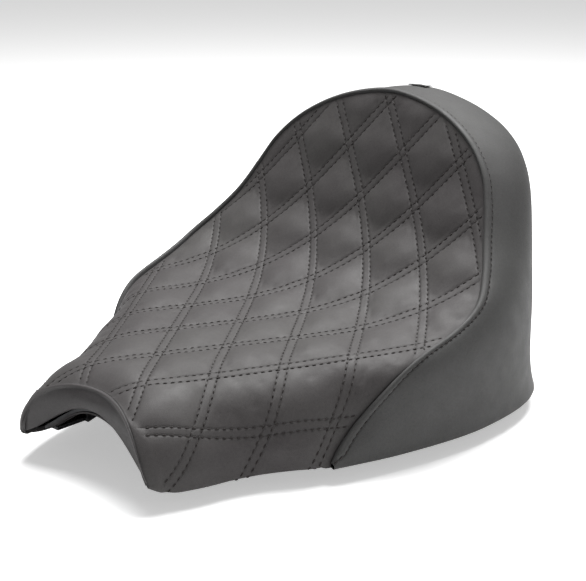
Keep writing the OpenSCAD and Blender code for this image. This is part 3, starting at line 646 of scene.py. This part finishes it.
SIM_FRAMES = 20
SIM_CAP = 5.5                             # the most a point may move, in mm
puff_field = None
sim_w, sim_h = billow()
for _ in range(3):                    # the foam under the cover evens out the smallest folds
    mean = (np.roll(sim_h, 1, 0) + np.roll(sim_h, -1, 0) + np.roll(sim_h, 1, 1) + np.roll(sim_h, -1, 1)) / 4
    sim_h = np.where(sim_h > 0, 0.5 * (sim_h + mean), 0)
sim_h = sim_h * PUFF / np.percentile(sim_h[sim_h > 0.5], 85)

def puff_field(u, v):
    i = np.clip(np.searchsorted(sim_w, u) - 1, 0, len(sim_w) - 2)
    j = np.clip(np.searchsorted(sim_w, v) - 1, 0, len(sim_w) - 2)
    f = np.clip((u - sim_w[i]) / (sim_w[i + 1] - sim_w[i]), 0, 1)
    g = np.clip((v - sim_w[j]) / (sim_w[j + 1] - sim_w[j]), 0, 1)
    return ((sim_h[i, j] * (1 - f) + sim_h[i + 1, j] * f) * (1 - g)
            + (sim_h[i, j + 1] * (1 - f) + sim_h[i + 1, j + 1] * f) * g)


def nose_margin(a, dnose):
    """0 in the plain margin beside the nose seam, 1 where the quilting is full."""
    wide = NOSE_PLAIN * smooth((np.abs(a) - 45) / 45)
    return smooth((dnose - wide + 5) / 6)


def quilt_height(a, s):
    """Height of the quilting over the smooth sheet, a mask of dust and painted shade along the stitch rows and seams,
    and the point's distance to the seam.
    """
    p = np.stack([np.abs(a), s], -1).reshape(-1, 2)
    dseam = nearest(p, seam_dense[:, :2])[0].reshape(np.shape(a))
    dnose = nearest(p, nose_dense)[0].reshape(np.shape(a))
    u, v = a / LA + s / LS, a / LA - s / LS
    du, dv = line_distance(u), line_distance(v)
    fu, fv = pillow(du), pillow(dv)
    q = np.stack([a, s, 0 * a], -1)
    h = PUFF * fu * fv if puff_field is None else puff_field(u, v)
    soft = noise(q, 34, 11, 2)
    fine = noise(q, 14, 23, 2)
    near = np.exp(-np.minimum(du, dv) / 9)
    h = h * (1 + 0.1 * soft) + 0.3 * fine * near * np.minimum(1, 3 * np.minimum(fu, fv))
    for d, w in ((du, v), (dv, u)):
        along = np.cos(2 * np.pi * w * PERP * 1.076 / PITCH)
        h = h + 0.2 * np.clip(1 - (d / ROW) ** 2, 0, 1) - (0.42 + 0.16 * along) * np.exp(-((d - ROW) / 0.8) ** 2)
    full = nose_margin(a, dnose)
    steep = 1 - 0.3 * smooth((turn(np.abs(a), s) - 45) / 30)
    steep = steep * smooth((fold_start(s) - np.abs(a)) / 22)
    h = (h * steep - DROP) * full
    edge = np.sqrt(1 - (1 - np.clip(dseam / 8, 0, 1)) ** 2)
    h = (h + SINK) * edge - SINK
    edge = np.sqrt(1 - (1 - np.clip(dnose / 4, 0, 1)) ** 2)
    h = (h + 0.8) * edge - 0.8
    # mask of dust and painted shade: along the stitch rows, the band seam and the nose seam
    seam_dust_and_shade = 0.35 * full * np.maximum(np.exp(-((du - ROW) / 0.8) ** 2), np.exp(-((dv - ROW) / 0.8) ** 2))
    seam_dust_and_shade = np.maximum(seam_dust_and_shade, np.maximum(np.exp(-dseam / 1.5), 0.6 * np.exp(-dnose / 1.0)))
    return h, seam_dust_and_shade, dseam


def insert_surface(a, s):
    p, n = insert_base(a, s)
    h, seam_dust_and_shade, dseam = quilt_height(a, s)
    q = np.stack([np.abs(a), s], -1).reshape(-1, 2)
    _, idx = nearest(q, seam_dense[:, :2])
    m = seam_dense[idx, 2:].reshape(p.shape) * (np.where(a < 0, -1, 1)[..., None] * [1, 0, 0] + [0, 1, 1])
    w = np.exp(-(dseam / 2.2) ** 2)[..., None]
    n = unit(n * (1 - w) + m * w)
    return p + h[..., None] * n, n, seam_dust_and_shade


def insert_mesh():
    off = np.r_[0, 1.2, 2.2, 3.0, 3.7, 4.4, 5.2, 6.3, 7.6, 9, 10.5, np.linspace(12, PERP, 11)] / PERP
    w = np.unique(np.round(np.concatenate([m + sgn * off for m in range(-9, 10, 2) for sgn in (-1, 1)]), 9))
    n = len(w)
    uu, vv = np.meshgrid(w, w, indexing="ij")
    pts = np.stack([(uu + vv) / 2 * LA, (uu - vv) / 2 * LS], -1).reshape(-1, 2)
    ok = inside(pts, rim)
    d, _ = nearest(pts[ok], dense(np.vstack([rim, rim[:1]]), 1.0))
    ok[ok] = d > 4.2
    ok = ok.reshape(n, n)
    quad = ok[:-1, :-1] & ok[1:, :-1] & ok[:-1, 1:] & ok[1:, 1:]
    qi, qj = np.nonzero(quad)
    idx = lambda i, j: i * n + j
    quads = np.stack([idx(qi, qj), idx(qi, qj + 1), idx(qi + 1, qj + 1), idx(qi + 1, qj)], -1)
    e = np.vstack([quads[:, [0, 1]], quads[:, [1, 2]], quads[:, [2, 3]], quads[:, [3, 0]]])
    key = np.sort(e, axis=1)
    _, first, count = np.unique(key, axis=0, return_index=True, return_counts=True)
    border = e[first[count == 1]]
    bverts = np.unique(border)
    # the strip between the regular grid and the rim
    rings = []
    normal = np.roll(rim, -1, 0) - np.roll(rim, 1, 0)
    normal = unit(np.stack([-normal[:, 1], normal[:, 0]], -1))
    dr = dense(np.vstack([rim, rim[:1]]), 0.8)
    for dist in (1.1, 2.4):
        ring = rim + normal * dist
        dd, _ = nearest(ring, dr)
        rings.append(ring[(dd > dist * 0.93) & inside(ring, rim)])
    free = np.vstack(rings)
    pool = np.vstack([rim, pts[bverts], free])
    remap = {int(v): len(rim) + k for k, v in enumerate(bverts)}
    edges = [(k, (k + 1) % len(rim)) for k in range(len(rim))] + [(remap[int(i)], remap[int(j)]) for i, j in border]
    v2, _, f2, orig, _, _ = delaunay_2d_cdt([Vector(p) for p in pool], edges, [], 1, 1e-6)
    v2 = np.array([tuple(v) for v in v2])
    tri = np.array([f for f in f2 if len(f) == 3])
    cen = v2[tri].mean(1)
    cu, cv = cen[:, 0] / LA + cen[:, 1] / LS, cen[:, 0] / LA - cen[:, 1] / LS
    ci = np.clip(np.searchsorted(w, cu) - 1, 0, n - 2)
    cj = np.clip(np.searchsorted(w, cv) - 1, 0, n - 2)
    tri = tri[~quad[ci, cj]]
    used = np.unique(quads)
    index = {int(v): k for k, v in enumerate(used)}
    allp = [pts[used]]
    extra, mapping = [], np.empty(len(v2), int)
    rim_index = {}
    for k in range(len(v2)):
        src = [o for o in orig[k] if len(rim) <= o < len(rim) + len(bverts)]
        if src:
            mapping[k] = index[int(bverts[src[0] - len(rim)])]
        else:
            mapping[k] = len(used) + len(extra)
            extra.append(v2[k])
            for o in orig[k]:
                if o < len(rim):
                    rim_index[o] = mapping[k]
    flat = np.vstack(allp + [np.array(extra)])
    lut = np.full(n * n, -1)
    lut[used] = np.arange(len(used))
    faces = lut[quads].tolist()
    t = mapping[tri]
    area = np.cross(flat[t[:, 1]] - flat[t[:, 0]], flat[t[:, 2]] - flat[t[:, 0]])
    t[area < 0] = t[area < 0][:, ::-1]
    faces += t[np.abs(area) > 1e-9].tolist()
    p, nrm, seam_dust_and_shade = insert_surface(flat[:, 0], flat[:, 1])
    # seam allowance: the rim goes on down inside the seat
    ring = np.array([rim_index[k] for k in range(len(rim))])
    low = p[ring] - 5.0 * nrm[ring]
    base = len(p)
    p = np.vstack([p, low])
    # the seam allowance inside the seat gets the full painted shade
    seam_dust_and_shade = np.r_[seam_dust_and_shade, np.ones(len(low))]
    m = len(ring)
    for k in range(m):
        a, b = ring[k], ring[(k + 1) % m]
        faces.append([int(b), int(a), base + k, base + (k + 1) % m])
    return p, faces, seam_dust_and_shade


p, f, seam_dust_and_shade = insert_mesh()
insert = make("quilted_insert", p, f, INSERT, attrs={"dust_and_shade": seam_dust_and_shade})
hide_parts("quilted_panel")


# ---------------------------------------------------------------- side band
HEM = np.array([0, .5, 1.0, 1.6, 2.3, 3.1, 3.9, 4.7, 5.5, 6.2, 6.8, 7.3, 7.8, 8.3, 8.8, 9.4, 10.2, 11.3, 12.8])
HEM_W = 8.0                               # width of the rolled edge, to its topstitching


def hem_height(d):
    roll = np.sqrt(np.clip(1 - ((d - HEM_W / 2) / (HEM_W / 2 + 0.15)) ** 2, 0, 1))
    after = 0.45 * np.clip(1 - np.exp(-(d - HEM_W) / 0.7), 0, 1) * np.exp(-np.maximum(d - HEM_W, 0) / 9)
    return np.where(d < HEM_W / 2, (2.4 + SINK) * roll - SINK, np.where(d < HEM_W, 2.7 * roll - 0.3, -0.3 + after * 1.4))


def section(t, v, lam):
    """Points of the band down each section, and their running arc length: returns places and lengths."""
    t = np.asarray(t, float)
    vv = np.linspace(0, 1, 161)
    ctrl = band_control(t)
    w = np.stack([math.comb(5, i) * (1 - vv) ** (5 - i) * vv ** i for i in range(6)], -1)
    g = np.einsum("ji,tik->tjk", w, ctrl)
    d = np.concatenate([np.zeros((len(t), 1)), np.cumsum(np.linalg.norm(np.diff(g, axis=1), axis=2), axis=1)], 1)
    return g, d


def band_half(n_t=340, n_rows=58):
    t = np.linspace(0.012, 1, n_t)
    g, d = section(t, None, None)
    length = d[:, -1]
    stop = length - np.minimum(1.0, 0.1 * length)
    n_h = len(HEM)
    k = np.minimum(1, stop / 20)
    dist = np.empty((n_t, n_h + n_rows))
    dist[:, :n_h] = HEM[None] * k[:, None]
    w = np.linspace(0, 1, n_rows + 1)[1:]
    dist[:, n_h:] = dist[:, n_h - 1:n_h] + (stop - dist[:, n_h - 1])[:, None] * w[None]
    p = np.empty(dist.shape + (3,))
    for i in range(n_t):
        for c in range(3):
            p[i, :, c] = np.interp(dist[i], d[i], g[i, :, c])
    return t, p, dist, k


def band_mesh():
    t, p, dist, k = band_half()
    full = np.concatenate([p, (p[:-1] * [-1, 1, 1])[::-1]])
    dist = np.concatenate([dist, dist[:-1][::-1]])
    k = np.concatenate([k, k[:-1][::-1]])
    mit = seam_frame(t)[1]
    mit = np.concatenate([mit, (mit[:-1] * [-1, 1, 1])[::-1]])
    # smooth the section joints, then take normals
    n = grid_normals(full)
    w = np.exp(-(dist / 2.2) ** 2)[..., None]
    n = unit(n * (1 - w) + mit[:, None] * w)
    h = hem_height(dist / np.maximum(k, 0.05)[:, None]) * k[:, None]
    cell = np.abs(full[..., :1]) * [1, 0, 0] + full * [0, 1, 1]
    soft = noise(full, 85, 41, 2) * 0.9 + noise(full * [1, 1, 0.35], 26, 52, 2) * 0.22
    pull = np.exp(-((dist - 14) / 9) ** 2) * noise(full, 12, 63, 2) * 0.28
    h = h + (soft * smooth((dist - 8) / 30) + pull) * k[:, None]
    out = full + h[..., None] * n
    # turned under at the bottom edge
    side_n = outline_normal(np.r_[t, t[:-1][::-1]]) * np.r_[np.ones(len(t)), -np.ones(len(t) - 1)][:, None] ** [1, 0]
    narrow = 1 - smooth(k / 0.8)[:, None]
    tan = unit(unit(full[:, -1] - full[:, -3]) * (1 - narrow) + narrow * [0, 0, -1])
    fold_n = unit(n[:, -1] * (1 - narrow) + narrow * np.c_[side_n, np.zeros(len(side_n))])
    rows = [turn_under(full[:, -1], tan, fold_n, np.full(len(full), e)) for e in (1.2, 2.4, 3.6, 4.8, 6.2, 8.5, 12, 16)]
    fold = np.stack([r[0] for r in rows], 1)
    last = (h[:, -1:, None] * n[:, -1:]) * np.linspace(1, 0.4, len(rows))[None, :, None]
    inner = full[:, :1] - (SINK * k[:, None, None] + 5.0 * np.maximum(k, 0.3)[:, None, None]) * n[:, :1]
    g = np.concatenate([inner, out, fold + last], 1)
    # dust and painted shade: darkest in the seam and inside the seat, darker along the topstitch line
    seam_dust_and_shade = np.concatenate([np.ones((len(full), 1)), np.maximum(np.exp(-dist / 1.2), 0.8 * np.exp(-((dist - HEM_W * k[:, None]) / 0.7) ** 2)),
                           np.zeros((len(full), len(rows)))], 1)
    return g, seam_dust_and_shade


g, seam_dust_and_shade = band_mesh()
side = make("smooth_band", g, grid_faces(*g.shape[:2], flip=True), BAND, attrs={"dust_and_shade": seam_dust_and_shade})
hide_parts("side_band")


# ---------------------------------------------------------------- nose panel
def nose_grid(n_i=241, n_v=26):
    i = np.linspace(-1, 1, n_i)
    a = LOBE_A * np.abs(i)
    top = skin(a, nose_seam_s(a))
    topn = insert_base(a, nose_seam_s(a))[1]
    x = top[-1, 0] * np.abs(i)
    foot = np.stack([x, -481 - 11 * (x / 85) ** 2, arch_z(x) + 1 + 7 * smooth((x - 95) / (x.max() - 95))], -1)
    v = np.r_[0, .012, .025, .045, .065, .09, .12, .15, np.linspace(.2, 1, n_v - 8)]
    g = top[:, None] + (foot - top)[:, None] * v[None, :, None]
    g[..., 1] -= 3 * np.sin(np.pi * v)[None] * (1 - np.abs(i))[:, None]
    sgn = np.where(i < 0, -1, 1)[:, None] * [1, 0, 0] + [0, 1, 1]
    g = g * sgn[:, None]
    n = -grid_normals(g)
    n = np.where(n[..., 1:2] > 0, -n, n)
    m = unit(n[:, 0] + topn * sgn)
    d = np.concatenate([np.zeros((n_i, 1)), np.cumsum(np.linalg.norm(np.diff(g, axis=1), axis=2), axis=1)], 1)
    k = np.minimum(1, d[:, -1] / 14)
    w = np.exp(-(d / 1.6) ** 2)[..., None]
    n = unit(n * (1 - w) + m[:, None] * w)
    hem = np.where(d < 3.6, (1.3 + 1.0) * np.sqrt(np.clip(1 - ((d - 1.8) / 1.9) ** 2, 0, 1)) - 1.0, -1.0 + 1.0 * (1 - np.exp(-(d - 3.6) / 1.2)))
    h = np.where(d < 1.8, hem, np.where(d < 3.6, np.maximum(hem, -0.1), np.maximum(hem, -0.1)))
    h = (h + 0.5 * noise(g, 30, 71, 2) * smooth((d - 4) / 8)) * k[:, None]
    out = g + h[..., None] * n
    tan = unit(g[:, -1] - g[:, -2])
    rows = [turn_under(out[:, -1], tan, n[:, -1], np.minimum(e, 3 + 27 * k ** 2), r=2.0, most=1.55) for e in (0.8, 1.6, 2.4, 3.2, 5, 9, 15, 22, 30)]
    inner = g[:, :1] - 5.0 * m[:, None]
    out = np.concatenate([inner, out, np.stack([r[0] for r in rows], 1)], 1)
    # dust and painted shade along the nose seam, full inside the seat
    seam_dust_and_shade = np.concatenate([np.ones((n_i, 1)), np.exp(-d / 0.8), np.zeros((n_i, len(rows)))], 1)
    # painted highlight along the ridge of the nose seam
    painted_seam_highlight = np.concatenate([np.zeros((n_i, 1)), np.exp(-((d - 1.6) / 0.8) ** 2), np.zeros((n_i, len(rows)))], 1)
    return out, seam_dust_and_shade, painted_seam_highlight


g, seam_dust_and_shade, painted_seam_highlight = nose_grid()
nose = make("nose_cover", g, grid_faces(*g.shape[:2]), NOSE, attrs={"dust_and_shade": seam_dust_and_shade, "painted_seam_highlight": painted_seam_highlight})
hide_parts("nose_panel")


# ---------------------------------------------------------------- threads
def capsules(name, starts, mids, ends, normals, radius, material):
    """Short stitches, each a round thread from one needle hole to the next."""
    k = len(starts)
    path = np.stack([starts, 0.75 * starts + 0.25 * ends + (mids - 0.5 * (starts + ends)) * 0.9, mids,
                     0.25 * starts + 0.75 * ends + (mids - 0.5 * (starts + ends)) * 0.9, ends], 1)
    tan = unit(ends - starts)
    side = unit(np.cross(normals, tan))
    up = unit(np.cross(tan, side))
    sides = 8
    ang = np.linspace(0, 2 * np.pi, sides, endpoint=False)
    rad = radius * np.array([0.55, 1.0, 1.0, 1.0, 0.55])
    ring = (np.cos(ang)[None, None, :, None] * side[:, None, None] + np.sin(ang)[None, None, :, None] * up[:, None, None] * 0.8)
    pts = path[:, :, None] + ring * rad[None, :, None, None]
    pts = pts.reshape(k, -1, 3)
    cap = np.stack([starts - tan * radius * 0.4, ends + tan * radius * 0.4], 1)
    pts = np.concatenate([pts, cap], 1)
    per = pts.shape[1]
    one = []
    for r in range(4):
        for j in range(sides):
            one.append([r * sides + j, r * sides + (j + 1) % sides, (r + 1) * sides + (j + 1) % sides, (r + 1) * sides + j])
    tri = []
    for j in range(sides):
        tri.append([per - 2, (j + 1) % sides, j])
        tri.append([per - 1, 4 * sides + j, 4 * sides + (j + 1) % sides])
    base = (np.arange(k) * per)[:, None, None]
    faces = (np.array(one)[None] + base).reshape(-1, 4).tolist() + (np.array(tri)[None] + base).reshape(-1, 3).tolist()
    ob = make(name, pts, faces, material)
    return ob


def quilt_stitches():
    e_u, n_u = np.array([LA, -LS]) / math.hypot(LA, LS), np.array([LS, LA]) / math.hypot(LA, LS)
    out = []
    rim_d = dense(np.vstack([rim, rim[:1]]), 1.0)
    for m in LINES:
        for sgn in (-1, 1):
            base = n_u * (m * PERP + sgn * ROW)
            w = np.arange(-420, 421, PITCH) + (0.37 * m + 0.5 * sgn) * PITCH
            mid = base + w[:, None] * e_u
            for flip in (1, -1):
                q = mid * [flip, 1]
                ok = inside(q, rim)
                dn, _ = nearest(np.abs(q[ok]) * [1, 0] + q[ok] * [0, 1], nose_dense)
                d, _ = nearest(q[ok], rim_d)
                ok[ok] = (d > 3.4) & (nose_margin(q[ok][:, 0], dn) > 0.45)
                out.append(np.stack([q[ok] - e_u * [flip, 1] * 2.05, q[ok], q[ok] + e_u * [flip, 1] * 2.05], 1))
    return np.vstack(out)


st = quilt_stitches()
sp, sn, _ = insert_surface(st[..., 0], st[..., 1])
sp[:, 0] -= 0.35 * sn[:, 0]
sp[:, 2] -= 0.35 * sn[:, 2]
sp[:, 1] = 0.5 * (sp[:, 0] + sp[:, 2]) + 0.85 * sn[:, 1]
quilt_thread = capsules("quilt_stitching", sp[:, 0], sp[:, 1], sp[:, 2], sn[:, 1], 0.66, THREAD)


def band_stitches():
    t = np.linspace(0.012, 1, 1600)
    g, d = section(t, None, None)
    stop = d[:, -1]
    k = np.minimum(1, stop / 20)
    p = np.empty((len(t), 3))
    q = np.empty((len(t), 3))
    for c in range(3):
        for i in range(len(t)):
            p[i, c] = np.interp(HEM_W * k[i], d[i], g[i, :, c])
            q[i, c] = np.interp(HEM_W * k[i] + 1.5, d[i], g[i, :, c])
    at = np.r_[0, np.cumsum(np.linalg.norm(np.diff(p, axis=0), axis=1))]
    n = unit(np.cross(q - p, np.gradient(p, axis=0)))
    n = np.where((n * (p - [0, -200, 60])).sum(-1, keepdims=True) < 0, -n, n)
    step = at[-1] / round(at[-1] / 6.0)
    mid = np.arange(step / 2, at[-1], step)
    pick = lambda w: np.stack([np.interp(w, at, p[:, c]) for c in range(3)], -1)
    nn = unit(np.stack([np.interp(mid, at, n[:, c]) for c in range(3)], -1))
    a, b, c = pick(mid - 2.0) - 0.2 * nn, pick(mid) + 1.05 * nn, pick(mid + 2.0) - 0.2 * nn
    f = np.array([-1, 1, 1])
    return [np.concatenate([x, x * f]) for x in (a, b, c, nn)]


a, b, c, nn = band_stitches()
hem_thread = capsules("hem_stitching", a, b, c, nn, 0.62, THREAD)


# ---------------------------------------------------------------- soft parts inside, and the tag
def remeshed(node, name, material, voxel, amount, scale):
    """A soft copy of a CAD solid: evenly remeshed, relaxed and slightly uneven."""
    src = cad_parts[node]
    ob = bpy.data.objects.new(name, src.data.copy())
    bpy.context.scene.collection.objects.link(ob)
    ob.data.materials.clear()
    ob.data.materials.append(material)
    m = ob.modifiers.new("even", "REMESH")
    m.mode = "VOXEL"
    m.voxel_size = voxel
    m = ob.modifiers.new("relax", "SMOOTH")
    m.factor, m.iterations = 0.5, 4
    dg = bpy.context.evaluated_depsgraph_get()
    mesh = bpy.data.meshes.new_from_object(ob.evaluated_get(dg))
    bpy.data.objects.remove(ob)
    co = np.empty(len(mesh.vertices) * 3)
    no = np.empty(len(mesh.vertices) * 3)
    mesh.vertices.foreach_get("co", co)
    mesh.vertices.foreach_get("normal", no)
    co, no = co.reshape(-1, 3), no.reshape(-1, 3)
    co += no * ((noise(co / MM, scale, 81, 3) - 0.6) * amount * MM)[:, None]
    if node == "foam_core":               # tucked up inside the rounded tips of the nose
        above = co[:, 2] / MM - arch_z(co[:, 0] / MM)
        co[:, 2] += 8 * MM * smooth((18 - above) / 10) * smooth((-430 - co[:, 1] / MM) / 25)
    mesh.vertices.foreach_set("co", co.ravel())
    mesh.shade_smooth()
    ob = bpy.data.objects.new(name, mesh)
    bpy.context.scene.collection.objects.link(ob)
    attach(ob, "seat")
    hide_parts(node)
    return ob


FOAM = foam("cushion_foam", (196, 188, 160), 500)
remeshed("foam_core", "moulded_foam", FOAM, 0.0045, 0.5, 22)
remeshed("sew_foam", "quilting_layer", foam("quilting_foam", (214, 208, 192), 900), 0.0035, 0.3, 18)

lo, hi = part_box("rear_tag")
TAG = cloth("tag_fabric", (44, 44, 45))
p0 = band(np.array([1.0]), np.array([0.12]))[0]
p1 = band(np.array([1.0]), np.array([0.18]))[0]
td = unit(p1 - p0)
tn = np.array([0, -td[2], td[1]])
if tn[2] < 0:
    tn = -tn
w, ln, th = 11.0, 12.0, 0.9
pts, nx, ny = [], 23, 13
for side_z in (1, -1):
    for i in range(nx):
        for j in range(ny):
            x, y = -w + 2 * w * i / (nx - 1), ln * j / (ny - 1)
            edge = min(w - abs(x), ln - y) if j else w - abs(x)
            round_off = 0.5 * th * math.sqrt(max(0, 1 - (1 - min(1, edge / 0.8)) ** 2))
            lift = 0.35 + 0.2 * math.sin(0.5 * x + 0.3 * y) * (y / ln)
            hem = 0.25 * math.exp(-((y - ln + 1.8) / 0.5) ** 2)
            pts.append(p0 + [x, 0, 0] + td * y + tn * (lift + side_z * (round_off - hem)))
pts = np.array(pts)
m = nx * ny
f = grid_faces(nx, ny)
faces = f + [[m + i for i in q[::-1]] for q in f]
rimi = [i * ny for i in range(nx)] + [(nx - 1) * ny + j for j in range(1, ny)] \
    + [i * ny + ny - 1 for i in range(nx - 2, -1, -1)] + [j for j in range(ny - 2, 0, -1)]
faces += [[rimi[k], m + rimi[k], m + rimi[(k + 1) % len(rimi)], rimi[(k + 1) % len(rimi)]] for k in range(len(rimi))]
tag = make("tape_loop", pts, faces, TAG)
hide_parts("rear_tag")


# ---------------------------------------------------------------- carried-over hard parts
FINISH = {
    "nose_binding": rubber("binding_rubber", (50, 48, 48)),
    "base_pan": plastic("pan_plastic", (34, 34, 36)),
    "back_plate": metal("plate_steel", (168, 170, 172), wear=0.3),
    "back_plate_rivets": metal("rivet_aluminium", (200, 202, 205), (0.25, 0.4), brushed=False, wear=0.2),
    "pull_strips": plastic("strip_plastic", (50, 50, 51), (0.4, 0.55), 700),
    "staples": metal("staple_steel", (196, 198, 202), (0.22, 0.35)),
    "pan_liner": cloth("liner_fabric", (52, 52, 55), 1100),
    "bumpers": rubber("foot_rubber"),
    "front_tongue": painted("bracket_steel"),
    "front_bolts": painted("bolt_steel", (40, 40, 43)),
    "tee_nuts": metal("nut_steel", (186, 188, 190), wear=0.3),
    "rear_bracket": None,
    "rear_rivets": None,
    "tab_grommet": rubber("grommet_rubber", (28, 28, 29)),
    "retaining_washer": plastic("washer_plastic", (226, 221, 206), (0.35, 0.5), 600),
    "mounting_screw": metal("screw_steel", (150, 152, 155), (0.16, 0.28), brushed=False, wear=0.25),
}
FINISH["rear_bracket"] = FINISH["front_tongue"]
FINISH["rear_rivets"] = FINISH["back_plate_rivets"]
for node, mat in FINISH.items():
    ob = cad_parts[node]
    ob.data.materials.clear()
    ob.data.materials.append(mat)


# ---------------------------------------------------------------- studio
floor_z = cad_lo.z - 0.003
bpy.ops.mesh.primitive_plane_add(size=14, location=(0, 0, floor_z))
floor = bpy.context.object
fm = bpy.data.materials.new("studio_floor")
fm.use_nodes = True
ft = fm.node_tree
fp = ft.nodes["Principled BSDF"]
fp.inputs["Roughness"].default_value = 0.9
fp.inputs["Specular IOR Level"].default_value = 0.1
fp.inputs["Emission Color"].default_value = (1, 1, 1, 1)
ray = ft.nodes.new("ShaderNodeLightPath")
lift = ft.nodes.new("ShaderNodeMath")
lift.operation = "MULTIPLY"
lift.inputs[1].default_value = 0.45
ft.links.new(ray.outputs["Is Camera Ray"], lift.inputs[0])
pale = ft.nodes.new("ShaderNodeMapRange")
pale.inputs[3].default_value = 0.9        # what the floor throws back at the seat
pale.inputs[4].default_value = 0.93       # what the camera sees
ft.links.new(ray.outputs["Is Camera Ray"], pale.inputs[0])
ft.links.new(pale.outputs[0], fp.inputs["Base Color"])
ft.links.new(lift.outputs[0], fp.inputs["Emission Strength"])
floor.data.materials.append(fm)

world = bpy.data.worlds.new("studio")
bpy.context.scene.world = world
world.use_nodes = True
wt = world.node_tree
ray = wt.nodes.new("ShaderNodeLightPath")
dim = wt.nodes.new("ShaderNodeMapRange")
dim.inputs[3].default_value = 0.19        # what lights the seat
dim.inputs[4].default_value = 1.0         # what the camera sees
wt.links.new(ray.outputs["Is Camera Ray"], dim.inputs[0])
wt.links.new(dim.outputs[0], wt.nodes["Background"].inputs[1])
wt.nodes["Background"].inputs[0].default_value = (1, 1, 1, 1)


def area(name, place, target, size, power):
    lamp = bpy.data.lights.new(name, "AREA")
    lamp.energy, lamp.size, lamp.shape = power, size, "SQUARE"
    ob = bpy.data.objects.new(name, lamp)
    bpy.context.scene.collection.objects.link(ob)
    ob.location = place
    ob.rotation_mode = "QUATERNION"
    ob.rotation_quaternion = (Vector(target) - Vector(place)).to_track_quat("-Z", "Y")
    return ob


area("top", (-0.2, 0.22, 1.85), (0, -0.25, 0.1), 1.5, 78)
area("fill", (1.8, 0.1, 0.5), (0, -0.25, 0.1), 1.4, 3.5)

scene = bpy.context.scene
scene.view_settings.view_transform = "Standard"
cam = bpy.data.cameras.new("photo_camera")
cam.sensor_width = 36
cam.lens = 1381.9 / 586 * 36
cam.clip_start = 0.05
co = bpy.data.objects.new("photo_camera", cam)
scene.collection.objects.link(co)
az, el = math.radians(42.687), math.radians(17.426)
back = Vector((math.sin(az) * math.cos(el), -math.cos(az) * math.cos(el), math.sin(el)))
co.location = (0.84142, -1.14652, 0.48347)
co.rotation_mode = "QUATERNION"
co.rotation_quaternion = (-back).to_track_quat("-Z", "Y")
scene.camera = co
